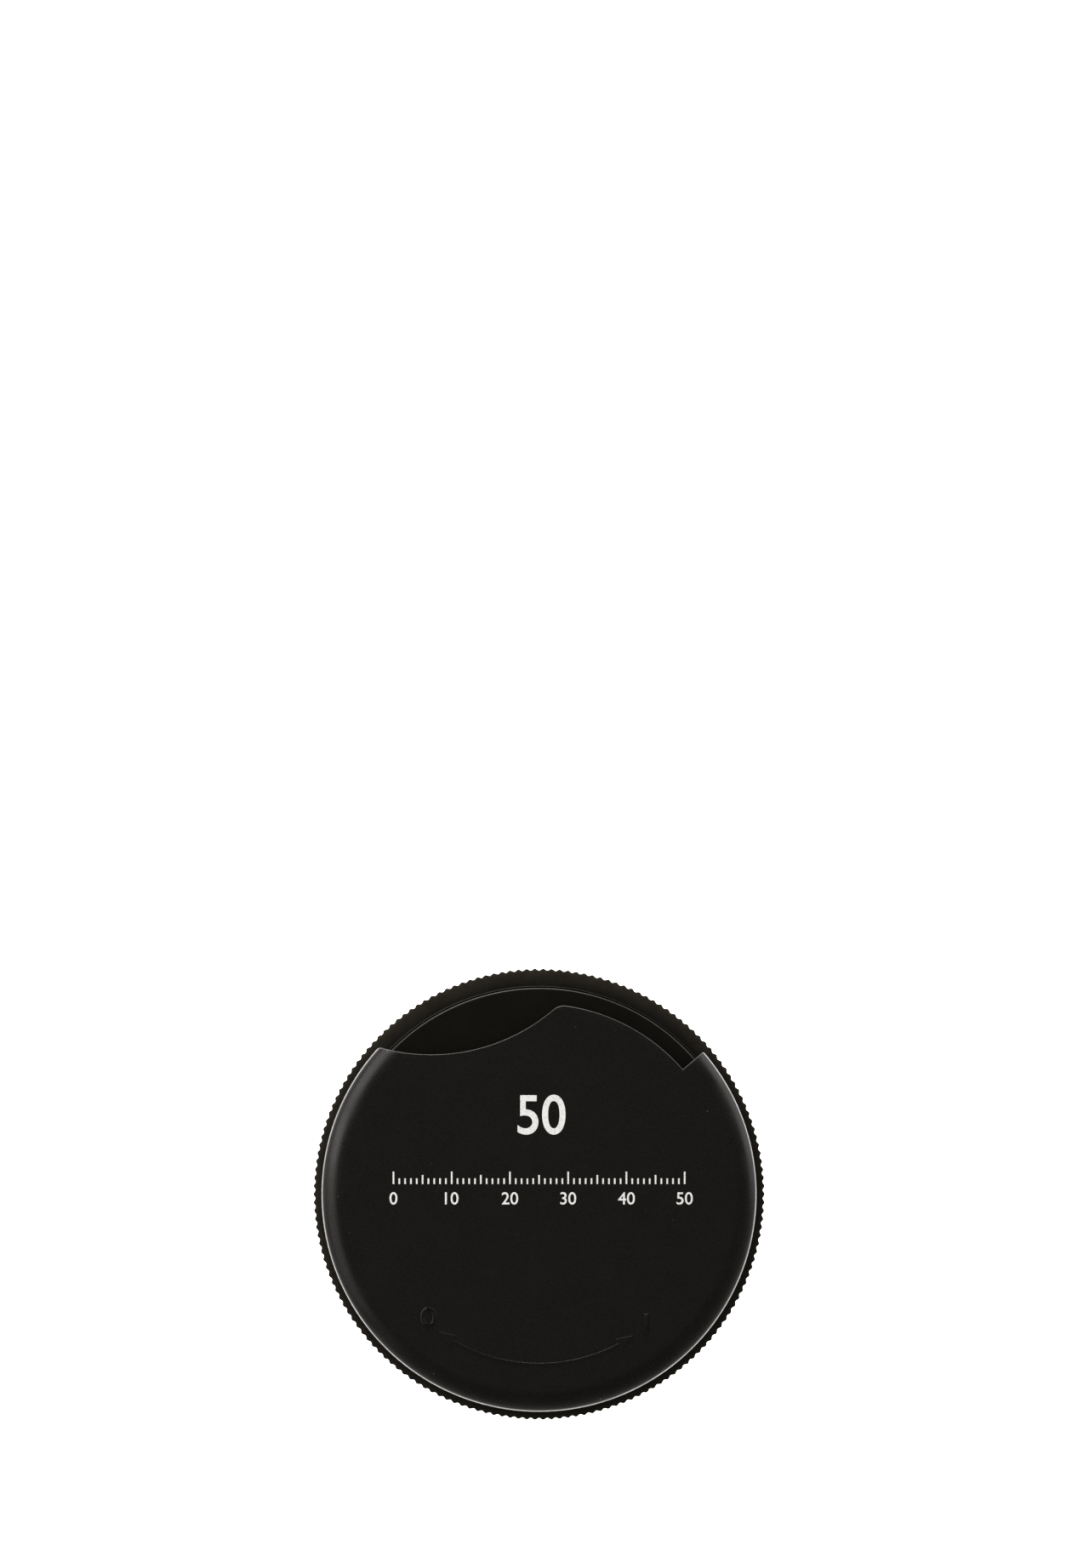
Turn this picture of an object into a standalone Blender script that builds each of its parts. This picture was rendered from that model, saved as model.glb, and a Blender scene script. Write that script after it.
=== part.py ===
"""Round floss dispenser: a ribbed case, a fixed deck, a cover that turns on it, and the floss inside.

The dispenser lies on its back. +Z runs up through the middle of the cover, +Y points to the top of
the front face, and z = 0 is the table under the foot ring. All lengths are in metres.
"""
from math import acos, cos, degrees, pi, radians, sin, tau

import bmesh
import bpy
from mathutils import Vector
from mathutils.geometry import intersect_line_line_2d

# Clearances
SEAT_GAP = 0.00025        # between a fixed piece and what it is pressed into
TURNING_GAP = 0.00030     # between a turning piece and its neighbour
SHEET_GAP = 0.00010       # under the steel cutter and the label
OVERRUN = 0.0010          # how far a cut runs past the material
ROOT = 0.0004             # how deep a boss or a peg grows out of its wall

# Ribbed case
CASE_RADIUS = 0.0270      # over the crests of the grip ribs
CASE_HEIGHT = 0.0124      # table to the top of the flange
RIB_PITCH = 0.0010        # crest to crest round the rim
RIB_DEPTH = 0.00025
CASE_WALL = 0.00178
FLOOR_THICKNESS = 0.0014
FOOT_CHAMFER = 0.0010
FLANGE_CHAMFER = 0.00020
FOOT_WIDTH = 0.0026       # flat ring that the dispenser lies on
RECESS_DEPTH = 0.0006     # hollow inside the foot ring, for the label
MOUTH_DEPTH = 0.0015      # flange top down to the ledges that carry the deck
LEDGE_DEPTH = 0.0013
LEDGE_WIDTH = 0.0016
LEDGE_COUNT = 8
SPINDLE_WALL = 0.0012

# Fixed deck
DECK_RISE = 0.0018        # deck top above the flange
DECK_PLATE = 0.0013
DECK_RIM = 0.0013
DECK_ROUND = 0.0003
OUTLET_RADIUS = 0.0009
OUTLET_FLARE = 0.0003
OUTLET_OFFSET = 0.0004    # outlet further out than the cutter's middle
OUTLET_SPACING = 0.00345  # bare deck between the outlet and the cutter

# Turning cover
COVER_WALL = 0.0010
COVER_PLATE = 0.0012
HEADROOM = 0.0014         # deck top to the underside of the cover
SHOULDER_RADIUS = 0.0026
THRUST_RADIUS = 0.0050
PIN_RADIUS = 0.0019
PIN_SLIT = 0.0008
BARB_DEPTH = 0.0007       # how far the barb hooks out past the pin
BARB_LENGTH = 0.0016
BARB_TIP = 0.0011         # radius of the pin's lower end
PEG_ORBIT = 0.0130
PEG_RADIUS = 0.0010
PEG_END_GAP = 0.0003      # between the peg and its slot's end at each stop
PEG_ANGLE = 250.0
TURN_ANGLE = 60.0         # closed to open, counter-clockwise from the front

# Thumb notch in the cover: a round scoop that runs out into a narrow slot
SCOOP_RADIUS = 0.02255
SCOOP_DEPTH = 0.00724     # from the cover's edge to the deepest point
SCOOP_ANGLE = 108.2
SLOT_DEPTH = 0.00325      # from the cover's edge to the slot's inner wall
SLOT_END_ANGLE = 41.0
PEAK_ROUND = 0.0020

# Steel cutter
SHEET = 0.0003
BLADE_ANGLE = 172.0
BLADE_DEPTH = 0.0038      # along the radius
BLADE_WIDTH = 0.0060      # round the deck
BLADE_INSET = 0.00122     # from the deck's edge
POCKET_GAP = 0.00025
POCKET_DEPTH = 0.0005
LEG_GAP = 0.0002
LEG_WIDTH = 0.0022
LEG_REACH = 0.0005        # leg past the underside of the deck
TONGUE_WIDTH = 0.0020
TONGUE_MARGIN = 0.0003    # plate left outside the tongue's root
TONGUE_REACH = 0.0027
TONGUE_RISE = 0.00085     # gap under the tongue
TONGUE_SLOPE = 0.0006
TONGUE_FOOT = 0.0006
WINDOW_GAP = 0.0003       # punched gap round the tongue

# Spool, floss and label
THREAD_SPACE = 0.0016     # free ring between the spool and the cutter's legs
HUB_WALL = 0.0011
SPOOL_FLANGE = 0.0008
SPOOL_TOP_GAP = 0.0005
WINDING_INSET = 0.0006    # winding's edge inside the spool's flanges
WINDING_CROWN = 0.0004
THREAD_RADIUS = 0.0002
TAIL_LENGTH = 0.0040      # thread past the cutter
LABEL_MARGIN = 0.0025
LABEL_THICKNESS = 0.0002

# Facets round each kind of circle
LARGE_STEPS = 120
WALL_STEPS = 96
SMALL_STEPS = 48
HOLE_STEPS = 24
FILLET_STEPS = 6
THREAD_SAMPLES = 3

# Radii and heights worked out from the sizes above
RIB_COUNT = round(tau * CASE_RADIUS / RIB_PITCH)
ROOT_RADIUS = CASE_RADIUS - RIB_DEPTH
MOUTH_RADIUS = ROOT_RADIUS - CASE_WALL
DECK_RADIUS = MOUTH_RADIUS - SEAT_GAP
COVER_INNER_RADIUS = DECK_RADIUS + TURNING_GAP
COVER_RADIUS = COVER_INNER_RADIUS + COVER_WALL

FLOOR_TOP = RECESS_DEPTH + FLOOR_THICKNESS
LEDGE_TOP = CASE_HEIGHT - MOUTH_DEPTH
DECK_BOTTOM = LEDGE_TOP + SEAT_GAP
DECK_TOP = CASE_HEIGHT + DECK_RISE
DECK_UNDERSIDE = DECK_TOP - DECK_PLATE
COVER_BOTTOM = CASE_HEIGHT + TURNING_GAP
COVER_UNDERSIDE = DECK_TOP + HEADROOM
COVER_TOP = COVER_UNDERSIDE + COVER_PLATE

PIN_HOLE_RADIUS = PIN_RADIUS + TURNING_GAP
BARB_RADIUS = PIN_RADIUS + BARB_DEPTH
SPINDLE_BORE = BARB_RADIUS + TURNING_GAP
SPINDLE_RADIUS = SPINDLE_BORE + SPINDLE_WALL
SPINDLE_TOP = DECK_UNDERSIDE - SEAT_GAP

BLADE_ORBIT = DECK_RADIUS - BLADE_INSET - BLADE_DEPTH / 2
BLADE_TOP = DECK_TOP - POCKET_DEPTH + SHEET_GAP + SHEET
TONGUE_FLAT_MIDDLE = BLADE_DEPTH / 2 - TONGUE_MARGIN - (TONGUE_REACH + TONGUE_FOOT + TONGUE_SLOPE) / 2
THREAD_ORBIT = BLADE_ORBIT + TONGUE_FLAT_MIDDLE
OUTLET_ORBIT = BLADE_ORBIT + OUTLET_OFFSET
OUTLET_ANGLE = BLADE_ANGLE - degrees((BLADE_WIDTH / 2 + OUTLET_SPACING + OUTLET_RADIUS) / BLADE_ORBIT)

SPOOL_RADIUS = BLADE_ORBIT - LEG_WIDTH / 2 - THREAD_SPACE
SPOOL_BORE = SPINDLE_RADIUS + TURNING_GAP
HUB_RADIUS = SPOOL_BORE + HUB_WALL
SPOOL_BOTTOM = FLOOR_TOP + TURNING_GAP
SPOOL_HEIGHT = DECK_UNDERSIDE - SPOOL_TOP_GAP - SPOOL_BOTTOM
WINDING_RADIUS = SPOOL_RADIUS - WINDING_INSET


def clear_scene():
    """Remove whatever the scene holds."""
    for item in list(bpy.data.objects):
        bpy.data.objects.remove(item, do_unlink=True)


def polar(radius, angle):
    """Point at a radius and an angle in degrees."""
    return radius * cos(radians(angle)), radius * sin(radians(angle))


def arc(centre, radius, start, end, steps):
    """Points along an arc between two angles in degrees, both ends included."""
    turn = (end - start) / steps
    offsets = [polar(radius, start + turn * step) for step in range(steps + 1)]
    return [(centre[0] + x, centre[1] + y) for x, y in offsets]


def circle(radius, steps):
    """Points round a circle at the origin."""
    return arc((0, 0), radius, 0, 360 * (steps - 1) / steps, steps - 1)


def box_outline(x_size, y_size):
    """Corners of a rectangle centred on the origin."""
    half_x, half_y = x_size / 2, y_size / 2
    return [(-half_x, -half_y), (half_x, -half_y), (half_x, half_y), (-half_x, half_y)]


def stack(levels):
    """Solid through a stack of outlines with equal counts, given as (height, outline) pairs."""
    shape = bmesh.new()
    height, outline = levels[0]
    caps = [shape.faces.new([shape.verts.new((x, y, height)) for x, y in outline])]
    for height, outline in levels[1:]:
        grown = bmesh.ops.extrude_face_region(shape, geom=[caps[-1]])["geom"]
        caps.append(next(item for item in grown if isinstance(item, bmesh.types.BMFace)))
        for corner, (x, y) in zip(caps[-1].verts, outline):
            corner.co = (x, y, height)
    bmesh.ops.delete(shape, geom=caps[1:-1], context="FACES_ONLY")
    bmesh.ops.recalc_face_normals(shape, faces=shape.faces)
    return shape


def prism(outline, bottom, top):
    """Outline extruded between two heights."""
    return stack([(bottom, outline), (top, outline)])


def ring(profile, steps):
    """Closed (radius, height) profile spun round the Z axis."""
    shape = bmesh.new()
    corners = [shape.verts.new((radius, 0, height)) for radius, height in profile]
    edges = [shape.edges.new(pair) for pair in zip(corners, corners[1:] + corners[:1])]
    bmesh.ops.spin(shape, geom=corners + edges, cent=(0, 0, 0), axis=(0, 0, 1), angle=tau,
                   steps=steps, use_merge=True, use_duplicate=False)
    bmesh.ops.recalc_face_normals(shape, faces=shape.faces)
    return shape


def sheet_outline(path, thickness):
    """Outline of a folded sheet whose middle line follows the path."""
    points = [Vector(point) for point in path]
    sides = []
    for sign in (1, -1):
        runs = []
        for start, end in zip(points, points[1:]):
            along = (end - start).normalized()
            shift = Vector((-along.y, along.x)) * (sign * thickness / 2)
            runs.append((start + shift, end + shift))
        side = [runs[0][0]]
        for before, after in zip(runs, runs[1:]):
            reach_before = before[1] + (before[1] - before[0])
            reach_after = after[0] - (after[1] - after[0])
            side.append(intersect_line_line_2d(before[0], reach_before, reach_after, after[1]))
        side.append(runs[-1][1])
        sides.append(side)
    return [tuple(point) for point in sides[0] + sides[1][::-1]]


def mesh_object(name, shape, smooth_angle=30.0):
    """Object that holds a bmesh, shaded smooth but for its hard edges."""
    mesh = bpy.data.meshes.new(name)
    shape.to_mesh(mesh)
    shape.free()
    mesh.shade_smooth()
    mesh.set_sharp_from_angle(angle=radians(smooth_angle))
    item = bpy.data.objects.new(name, mesh)
    bpy.context.collection.objects.link(item)
    return item


def finish(item, colour, roughness, metallic=0.0):
    """Give a piece its own Principled material."""
    material = bpy.data.materials.new(item.name)
    material.use_nodes = True
    shader = material.node_tree.nodes["Principled BSDF"]
    shader.inputs["Base Color"].default_value = (*colour, 1)
    shader.inputs["Roughness"].default_value = roughness
    shader.inputs["Metallic"].default_value = metallic
    item.data.materials.append(material)


def shape_with(item, operation, name, shape, place=(0, 0, 0), turn=0.0):
    """Cut a shape out of a piece, or join it on, by a Boolean with a hidden helper."""
    helper = mesh_object(name, shape)
    helper.parent = item
    helper.location = place
    helper.rotation_euler.z = radians(turn)
    helper.display_type = "WIRE"
    helper.hide_render = True
    boolean = item.modifiers.new(name, "BOOLEAN")
    boolean.operation = operation
    boolean.solver = "EXACT"
    boolean.object = helper


def cut(item, name, shape, place=(0, 0, 0), turn=0.0):
    shape_with(item, "DIFFERENCE", name, shape, place, turn)


def join(item, name, shape, place=(0, 0, 0), turn=0.0):
    shape_with(item, "UNION", name, shape, place, turn)


def axis_empty(name):
    """Empty on the middle axis, which the turning pieces hang from."""
    empty = bpy.data.objects.new(name, None)
    bpy.context.collection.objects.link(empty)
    return empty


def ribbed_outline(inset):
    """Circle of grip ribs: crests and roots take turns, drawn in by an inset."""
    points = []
    for step in range(2 * RIB_COUNT):
        radius = (CASE_RADIUS if step % 2 == 0 else ROOT_RADIUS) - inset
        points.append(polar(radius, 180 * step / RIB_COUNT))
    return points


def cavity_outline():
    """Inside of the case wall, with the ledge ribs standing in from it."""
    inner_radius = MOUTH_RADIUS - LEDGE_DEPTH
    outer_half = degrees(LEDGE_WIDTH / 2 / MOUTH_RADIUS)
    inner_half = degrees(LEDGE_WIDTH / 2 / inner_radius)
    pitch = 360 / LEDGE_COUNT
    points = []
    for ledge in range(LEDGE_COUNT):
        middle = pitch * (ledge + 0.5)
        points.append(polar(inner_radius, middle - inner_half))
        points.append(polar(inner_radius, middle + inner_half))
        points += arc((0, 0), MOUTH_RADIUS, middle + outer_half, middle + pitch - outer_half,
                      WALL_STEPS // LEDGE_COUNT)
    return points


def build_case():
    """Knurled cup with its foot ring, floor, ledges and hollow spindle."""
    foot_radius = ROOT_RADIUS - FOOT_CHAMFER
    foot_outline = ribbed_outline(CASE_RADIUS - foot_radius)
    levels = [
        (0, foot_outline),
        (FOOT_CHAMFER, ribbed_outline(0)),
        (CASE_HEIGHT - FLANGE_CHAMFER, ribbed_outline(0)),
        (CASE_HEIGHT, ribbed_outline(FLANGE_CHAMFER)),
    ]
    case = mesh_object("base_case", stack(levels))
    finish(case, (0.016, 0.015, 0.014), 0.45)
    cut(case, "case_cavity", prism(cavity_outline(), FLOOR_TOP, LEDGE_TOP))
    cut(case, "case_mouth", prism(circle(MOUTH_RADIUS, WALL_STEPS), LEDGE_TOP, CASE_HEIGHT + OVERRUN))
    recess = circle(foot_radius - FOOT_WIDTH, WALL_STEPS)
    cut(case, "label_recess", prism(recess, -OVERRUN, RECESS_DEPTH))
    spindle = [
        (SPINDLE_BORE, FLOOR_TOP - ROOT),
        (SPINDLE_RADIUS, FLOOR_TOP - ROOT),
        (SPINDLE_RADIUS, SPINDLE_TOP),
        (SPINDLE_BORE, SPINDLE_TOP),
    ]
    join(case, "spindle", ring(spindle, HOLE_STEPS))


def build_deck():
    """Drum with a down-turned rim that plugs the mouth of the case."""
    depth = DECK_TOP - DECK_BOTTOM
    levels = [
        (0, circle(DECK_RADIUS, LARGE_STEPS)),
        (depth - DECK_ROUND, circle(DECK_RADIUS, LARGE_STEPS)),
        (depth, circle(DECK_RADIUS - DECK_ROUND, LARGE_STEPS)),
    ]
    deck = mesh_object("inner_deck", stack(levels))
    deck.location.z = DECK_BOTTOM
    finish(deck, (0.012, 0.012, 0.012), 0.4)
    underside = depth - DECK_PLATE
    cut(deck, "deck_hollow", prism(circle(DECK_RADIUS - DECK_RIM, WALL_STEPS), -OVERRUN, underside))
    bore = prism(circle(PIN_HOLE_RADIUS, HOLE_STEPS), underside - OVERRUN, depth + OVERRUN)
    cut(deck, "pin_hole", bore)
    cut(deck, "stop_slot", prism(stop_slot_outline(), underside - OVERRUN, depth + OVERRUN))
    cut(deck, "outlet", outlet_shape(underside, depth), place=(*polar(OUTLET_ORBIT, OUTLET_ANGLE), 0))
    blade_place = (*polar(BLADE_ORBIT, BLADE_ANGLE), depth)
    pocket = box_outline(BLADE_DEPTH + 2 * POCKET_GAP, BLADE_WIDTH + 2 * POCKET_GAP)
    cut(deck, "cutter_pocket", prism(pocket, -POCKET_DEPTH, OVERRUN), blade_place, BLADE_ANGLE)
    leg_slot = box_outline(LEG_WIDTH + 2 * LEG_GAP, SHEET + 2 * LEG_GAP)
    for side in (-1, 1):
        x, y = polar(side * (BLADE_WIDTH - SHEET) / 2, BLADE_ANGLE + 90)
        place = (blade_place[0] + x, blade_place[1] + y, depth)
        slot = prism(leg_slot, -DECK_PLATE - OVERRUN, -POCKET_DEPTH + OVERRUN)
        cut(deck, "leg_slot", slot, place, BLADE_ANGLE)


def stop_slot_outline():
    """Curved slot with round ends that the cover's peg runs in."""
    half_width = PEG_RADIUS + TURNING_GAP
    end_turn = degrees((PEG_END_GAP - TURNING_GAP) / PEG_ORBIT)
    start = PEG_ANGLE - end_turn
    end = PEG_ANGLE + TURN_ANGLE + end_turn
    end_steps = HOLE_STEPS // 2
    points = arc((0, 0), PEG_ORBIT + half_width, start, end, end_steps)
    points += arc(polar(PEG_ORBIT, end), half_width, end, end + 180, end_steps)[1:-1]
    points += arc((0, 0), PEG_ORBIT - half_width, end, start, end_steps)
    points += arc(polar(PEG_ORBIT, start), half_width, start + 180, start + 360, end_steps)[1:-1]
    return points


def outlet_shape(underside, top):
    """Round hole with a flared mouth, so that nothing frays the floss."""
    hole = circle(OUTLET_RADIUS, HOLE_STEPS)
    flare = circle(OUTLET_RADIUS + OUTLET_FLARE, HOLE_STEPS)
    mouth = circle(OUTLET_RADIUS + OUTLET_FLARE + OVERRUN, HOLE_STEPS)
    return stack([
        (underside - OVERRUN, hole),
        (top - OUTLET_FLARE, hole),
        (top, flare),
        (top + OVERRUN, mouth),
    ])


def shoulder_levels(radius, round_radius, bottom, top):
    """Levels of a drum whose upper edge is rounded over."""
    levels = [(bottom, circle(radius, LARGE_STEPS))]
    for step in range(FILLET_STEPS + 1):
        lean = pi / 2 * step / FILLET_STEPS
        inset = round_radius * (1 - cos(lean))
        height = top - round_radius * (1 - sin(lean))
        levels.append((height, circle(radius - inset, LARGE_STEPS)))
    return levels


def notch_outline():
    """Thumb notch seen from the front: scoop, rounded peak, slot along the edge, radial end wall."""
    outside = COVER_RADIUS + OVERRUN
    scoop_orbit = COVER_RADIUS - SCOOP_DEPTH + SCOOP_RADIUS
    scoop_centre = polar(scoop_orbit, SCOOP_ANGLE)
    slot_radius = COVER_RADIUS - SLOT_DEPTH
    peak_orbit = slot_radius - PEAK_ROUND
    peak_reach = SCOOP_RADIUS + PEAK_ROUND
    peak_angle = SCOOP_ANGLE - corner_angle(peak_orbit, scoop_orbit, peak_reach)
    peak_centre = polar(peak_orbit, peak_angle)
    mouth_angle = SCOOP_ANGLE + corner_angle(outside, scoop_orbit, SCOOP_RADIUS)
    scoop_back = SCOOP_ANGLE + 180
    scoop_start = scoop_back - corner_angle(SCOOP_RADIUS, scoop_orbit, outside)
    scoop_end = scoop_back + corner_angle(peak_reach, scoop_orbit, peak_orbit)
    large, small = SMALL_STEPS // 2, FILLET_STEPS
    points = arc((0, 0), outside, SLOT_END_ANGLE, mouth_angle, large)
    points += arc(scoop_centre, SCOOP_RADIUS, scoop_start, scoop_end, large)[1:]
    points += arc(peak_centre, PEAK_ROUND, scoop_end - 180, peak_angle, small)[1:]
    points += arc((0, 0), slot_radius, peak_angle, SLOT_END_ANGLE, large // 2)[1:]
    return points


def corner_angle(side_a, side_b, opposite):
    """Angle in degrees between two sides of a triangle, from its three sides."""
    return degrees(acos((side_a ** 2 + side_b ** 2 - opposite ** 2) / (2 * side_a * side_b)))


def build_cover(axis):
    """Shell that turns on the deck, with a split snap pin and a stop peg under it."""
    height = COVER_TOP - COVER_BOTTOM
    underside = COVER_UNDERSIDE - COVER_BOTTOM
    outer = shoulder_levels(COVER_RADIUS, SHOULDER_RADIUS, 0, height)
    cover = mesh_object("turning_cover", stack(outer))
    cover.parent = axis
    cover.location.z = COVER_BOTTOM
    finish(cover, (0.016, 0.015, 0.014), 0.35)
    inner_round = min(SHOULDER_RADIUS - COVER_WALL, underside / 2)
    inner = shoulder_levels(COVER_INNER_RADIUS, inner_round, -OVERRUN, underside)
    cut(cover, "cover_hollow", stack(inner))
    cut(cover, "thumb_notch", prism(notch_outline(), -OVERRUN, height + OVERRUN))
    thrust_bottom = DECK_TOP + TURNING_GAP - COVER_BOTTOM
    join(cover, "thrust_boss", prism(circle(THRUST_RADIUS, SMALL_STEPS), thrust_bottom, underside + ROOT))
    barb_top = DECK_UNDERSIDE - TURNING_GAP - COVER_BOTTOM
    pin = stack([
        (barb_top - BARB_LENGTH, circle(BARB_TIP, HOLE_STEPS)),
        (barb_top, circle(BARB_RADIUS, HOLE_STEPS)),
        (barb_top, circle(PIN_RADIUS, HOLE_STEPS)),
        (thrust_bottom + ROOT, circle(PIN_RADIUS, HOLE_STEPS)),
    ])
    join(cover, "snap_pin", pin)
    slit = box_outline(2 * BARB_RADIUS + OVERRUN, PIN_SLIT)
    slit_bottom = barb_top - BARB_LENGTH - OVERRUN
    cut(cover, "pin_slit", prism(slit, slit_bottom, thrust_bottom - TURNING_GAP))
    peg_bottom = DECK_UNDERSIDE - COVER_BOTTOM
    peg = prism(circle(PEG_RADIUS, HOLE_STEPS), peg_bottom, underside + ROOT)
    join(cover, "stop_peg", peg, place=(*polar(PEG_ORBIT, PEG_ANGLE), 0))


def build_cutter():
    """Steel plate with two legs through the deck and a raised tongue that the floss slides under.

    Its own +X points away from the middle of the deck, and z = 0 is the top of the plate.
    """
    half_sheet = SHEET / 2
    plate = prism(box_outline(BLADE_DEPTH, BLADE_WIDTH - SHEET), -SHEET, 0)
    cutter = mesh_object("floss_cutter", plate)
    cutter.location = (*polar(BLADE_ORBIT, BLADE_ANGLE), BLADE_TOP)
    cutter.rotation_euler.z = radians(BLADE_ANGLE)
    finish(cutter, (0.60, 0.60, 0.61), 0.3, metallic=1.0)

    leg_line = (BLADE_WIDTH - SHEET) / 2
    leg_end = DECK_UNDERSIDE - LEG_REACH - BLADE_TOP
    legs = [(-leg_line, leg_end), (-leg_line, -half_sheet), (leg_line, -half_sheet), (leg_line, leg_end)]
    join(cutter, "cutter_legs", folded_sheet(legs, LEG_WIDTH, along="y"))

    root = BLADE_DEPTH / 2 - TONGUE_MARGIN
    tip = root - TONGUE_REACH
    tongue = [
        (root, -half_sheet),
        (root - TONGUE_FOOT, -half_sheet),
        (root - TONGUE_FOOT - TONGUE_SLOPE, TONGUE_RISE + half_sheet),
        (tip, TONGUE_RISE + half_sheet),
    ]
    window_depth = TONGUE_REACH - TONGUE_FOOT + WINDOW_GAP
    window = box_outline(window_depth, TONGUE_WIDTH + 2 * WINDOW_GAP)
    window_middle = tip - WINDOW_GAP + window_depth / 2
    cut(cutter, "tongue_window", prism(window, -SHEET - OVERRUN, OVERRUN), place=(window_middle, 0, 0))
    join(cutter, "tongue", folded_sheet(tongue, TONGUE_WIDTH, along="x"))


def folded_sheet(path, width, along):
    """Sheet bent along a path in an upright plane, centred on the third direction."""
    shape = prism(sheet_outline(path, SHEET), -width / 2, width / 2)
    for corner in shape.verts:
        run, height, across = corner.co
        corner.co = (run, across, height) if along == "x" else (across, run, height)
    bmesh.ops.recalc_face_normals(shape, faces=shape.faces)
    return shape


def build_spool(axis):
    """Bobbin with two thin flanges, free to turn on the case's spindle."""
    profile = [
        (SPOOL_BORE, SPOOL_HEIGHT),
        (SPOOL_RADIUS, SPOOL_HEIGHT),
        (SPOOL_RADIUS, SPOOL_HEIGHT - SPOOL_FLANGE),
        (HUB_RADIUS, SPOOL_HEIGHT - SPOOL_FLANGE),
        (HUB_RADIUS, SPOOL_FLANGE),
        (SPOOL_RADIUS, SPOOL_FLANGE),
        (SPOOL_RADIUS, 0),
        (SPOOL_BORE, 0),
    ]
    spool = mesh_object("floss_spool", ring(profile, SMALL_STEPS))
    spool.parent = axis
    spool.location.z = SPOOL_BOTTOM
    finish(spool, (0.80, 0.80, 0.78), 0.5)


def build_winding(axis):
    """The wound floss as one turned body between the spool's flanges."""
    bottom = SPOOL_FLANGE + SEAT_GAP
    top = SPOOL_HEIGHT - SPOOL_FLANGE - SEAT_GAP
    inner = HUB_RADIUS + SEAT_GAP
    outer = WINDING_RADIUS
    profile = [
        (inner, top),
        (outer - WINDING_CROWN, top),
        (outer, top - WINDING_CROWN),
        (outer, bottom + WINDING_CROWN),
        (outer - WINDING_CROWN, bottom),
        (inner, bottom),
    ]
    winding = mesh_object("floss_winding", ring(profile, SMALL_STEPS))
    winding.parent = axis
    winding.location.z = SPOOL_BOTTOM
    finish(winding, (0.85, 0.86, 0.84), 0.7)


def thread_route():
    """Places on the thread as (radius, angle, height): off the winding, up the outlet, under the tongue."""
    start_radius = WINDING_RADIUS + TURNING_GAP + THREAD_RADIUS
    start_height = SPOOL_BOTTOM + SPOOL_HEIGHT / 2
    over_deck = BLADE_TOP + TONGUE_RISE / 2
    rise = DECK_UNDERSIDE - start_height
    spread = OUTLET_ORBIT - start_radius
    lip_turn = degrees(OUTLET_RADIUS / OUTLET_ORBIT)
    past_cutter = degrees((BLADE_WIDTH / 2 + TAIL_LENGTH / 2) / BLADE_ORBIT)
    sweep = 54.0
    turn_shares = (0, 0.30, 0.58, 0.80)
    spread_shares = (0, 0.08, 0.34, 0.74)
    rise_shares = (0, 0.06, 0.28, 0.62)
    route = []
    for turn_share, spread_share, rise_share in zip(turn_shares, spread_shares, rise_shares):
        route.append((start_radius + spread_share * spread, OUTLET_ANGLE - (1 - turn_share) * sweep,
                      start_height + rise_share * rise))
    hole_share, before_lip_share, on_lip_share, past_lip_share = 0.65, -0.5, 0.7, 1.6
    route += [
        (OUTLET_ORBIT, OUTLET_ANGLE + before_lip_share * lip_turn, DECK_UNDERSIDE),
        (OUTLET_ORBIT, OUTLET_ANGLE, DECK_UNDERSIDE + hole_share * DECK_PLATE),
        (OUTLET_ORBIT, OUTLET_ANGLE + on_lip_share * lip_turn, over_deck - THREAD_RADIUS / 2),
        (OUTLET_ORBIT, OUTLET_ANGLE + past_lip_share * lip_turn, over_deck),
        (THREAD_ORBIT, BLADE_ANGLE - past_cutter / 2, over_deck),
        (THREAD_ORBIT, BLADE_ANGLE, over_deck),
        (THREAD_ORBIT, BLADE_ANGLE + past_cutter, over_deck),
    ]
    return route


def smooth_path(points, samples):
    """Points on a smooth curve through the given ones, several to each stretch."""
    path = []
    for index in range(len(points) - 1):
        before = points[max(index - 1, 0)]
        start, end = points[index], points[index + 1]
        after = points[min(index + 2, len(points) - 1)]
        for sample in range(samples):
            share = sample / samples
            pull = (end - before) * share
            bend = (2 * before - 5 * start + 4 * end - after) * share ** 2
            twist = (3 * start - before - 3 * end + after) * share ** 3
            path.append(start + (pull + bend + twist) / 2)
    return path + [points[-1]]


def build_thread():
    """Free end of the floss, from the winding to its tail past the cutter."""
    places = [Vector((*polar(radius, angle), height)) for radius, angle, height in thread_route()]
    path = smooth_path(places, THREAD_SAMPLES)
    curve = bpy.data.curves.new("floss_thread", "CURVE")
    curve.dimensions = "3D"
    curve.bevel_depth = THREAD_RADIUS
    curve.bevel_resolution = 2
    curve.use_fill_caps = True
    spline = curve.splines.new("POLY")
    spline.points.add(len(path) - 1)
    for point, place in zip(spline.points, path):
        point.co = (*place, 1)
    thread = bpy.data.objects.new("floss_thread", curve)
    bpy.context.collection.objects.link(thread)
    finish(thread, (0.85, 0.86, 0.84), 0.7)


def build_label():
    """Blank round label stuck in the recess under the case."""
    radius = ROOT_RADIUS - FOOT_CHAMFER - FOOT_WIDTH - LABEL_MARGIN
    label = mesh_object("back_label", prism(circle(radius, SMALL_STEPS), -LABEL_THICKNESS, 0))
    label.location.z = RECESS_DEPTH - SHEET_GAP
    finish(label, (0.80, 0.80, 0.79), 0.6)


clear_scene()
cover_axis = axis_empty("cover_axis")
spool_axis = axis_empty("spool_axis")
build_case()
build_deck()
build_cover(cover_axis)
build_cutter()
build_spool(spool_axis)
build_winding(spool_axis)
build_thread()
build_label()
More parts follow.
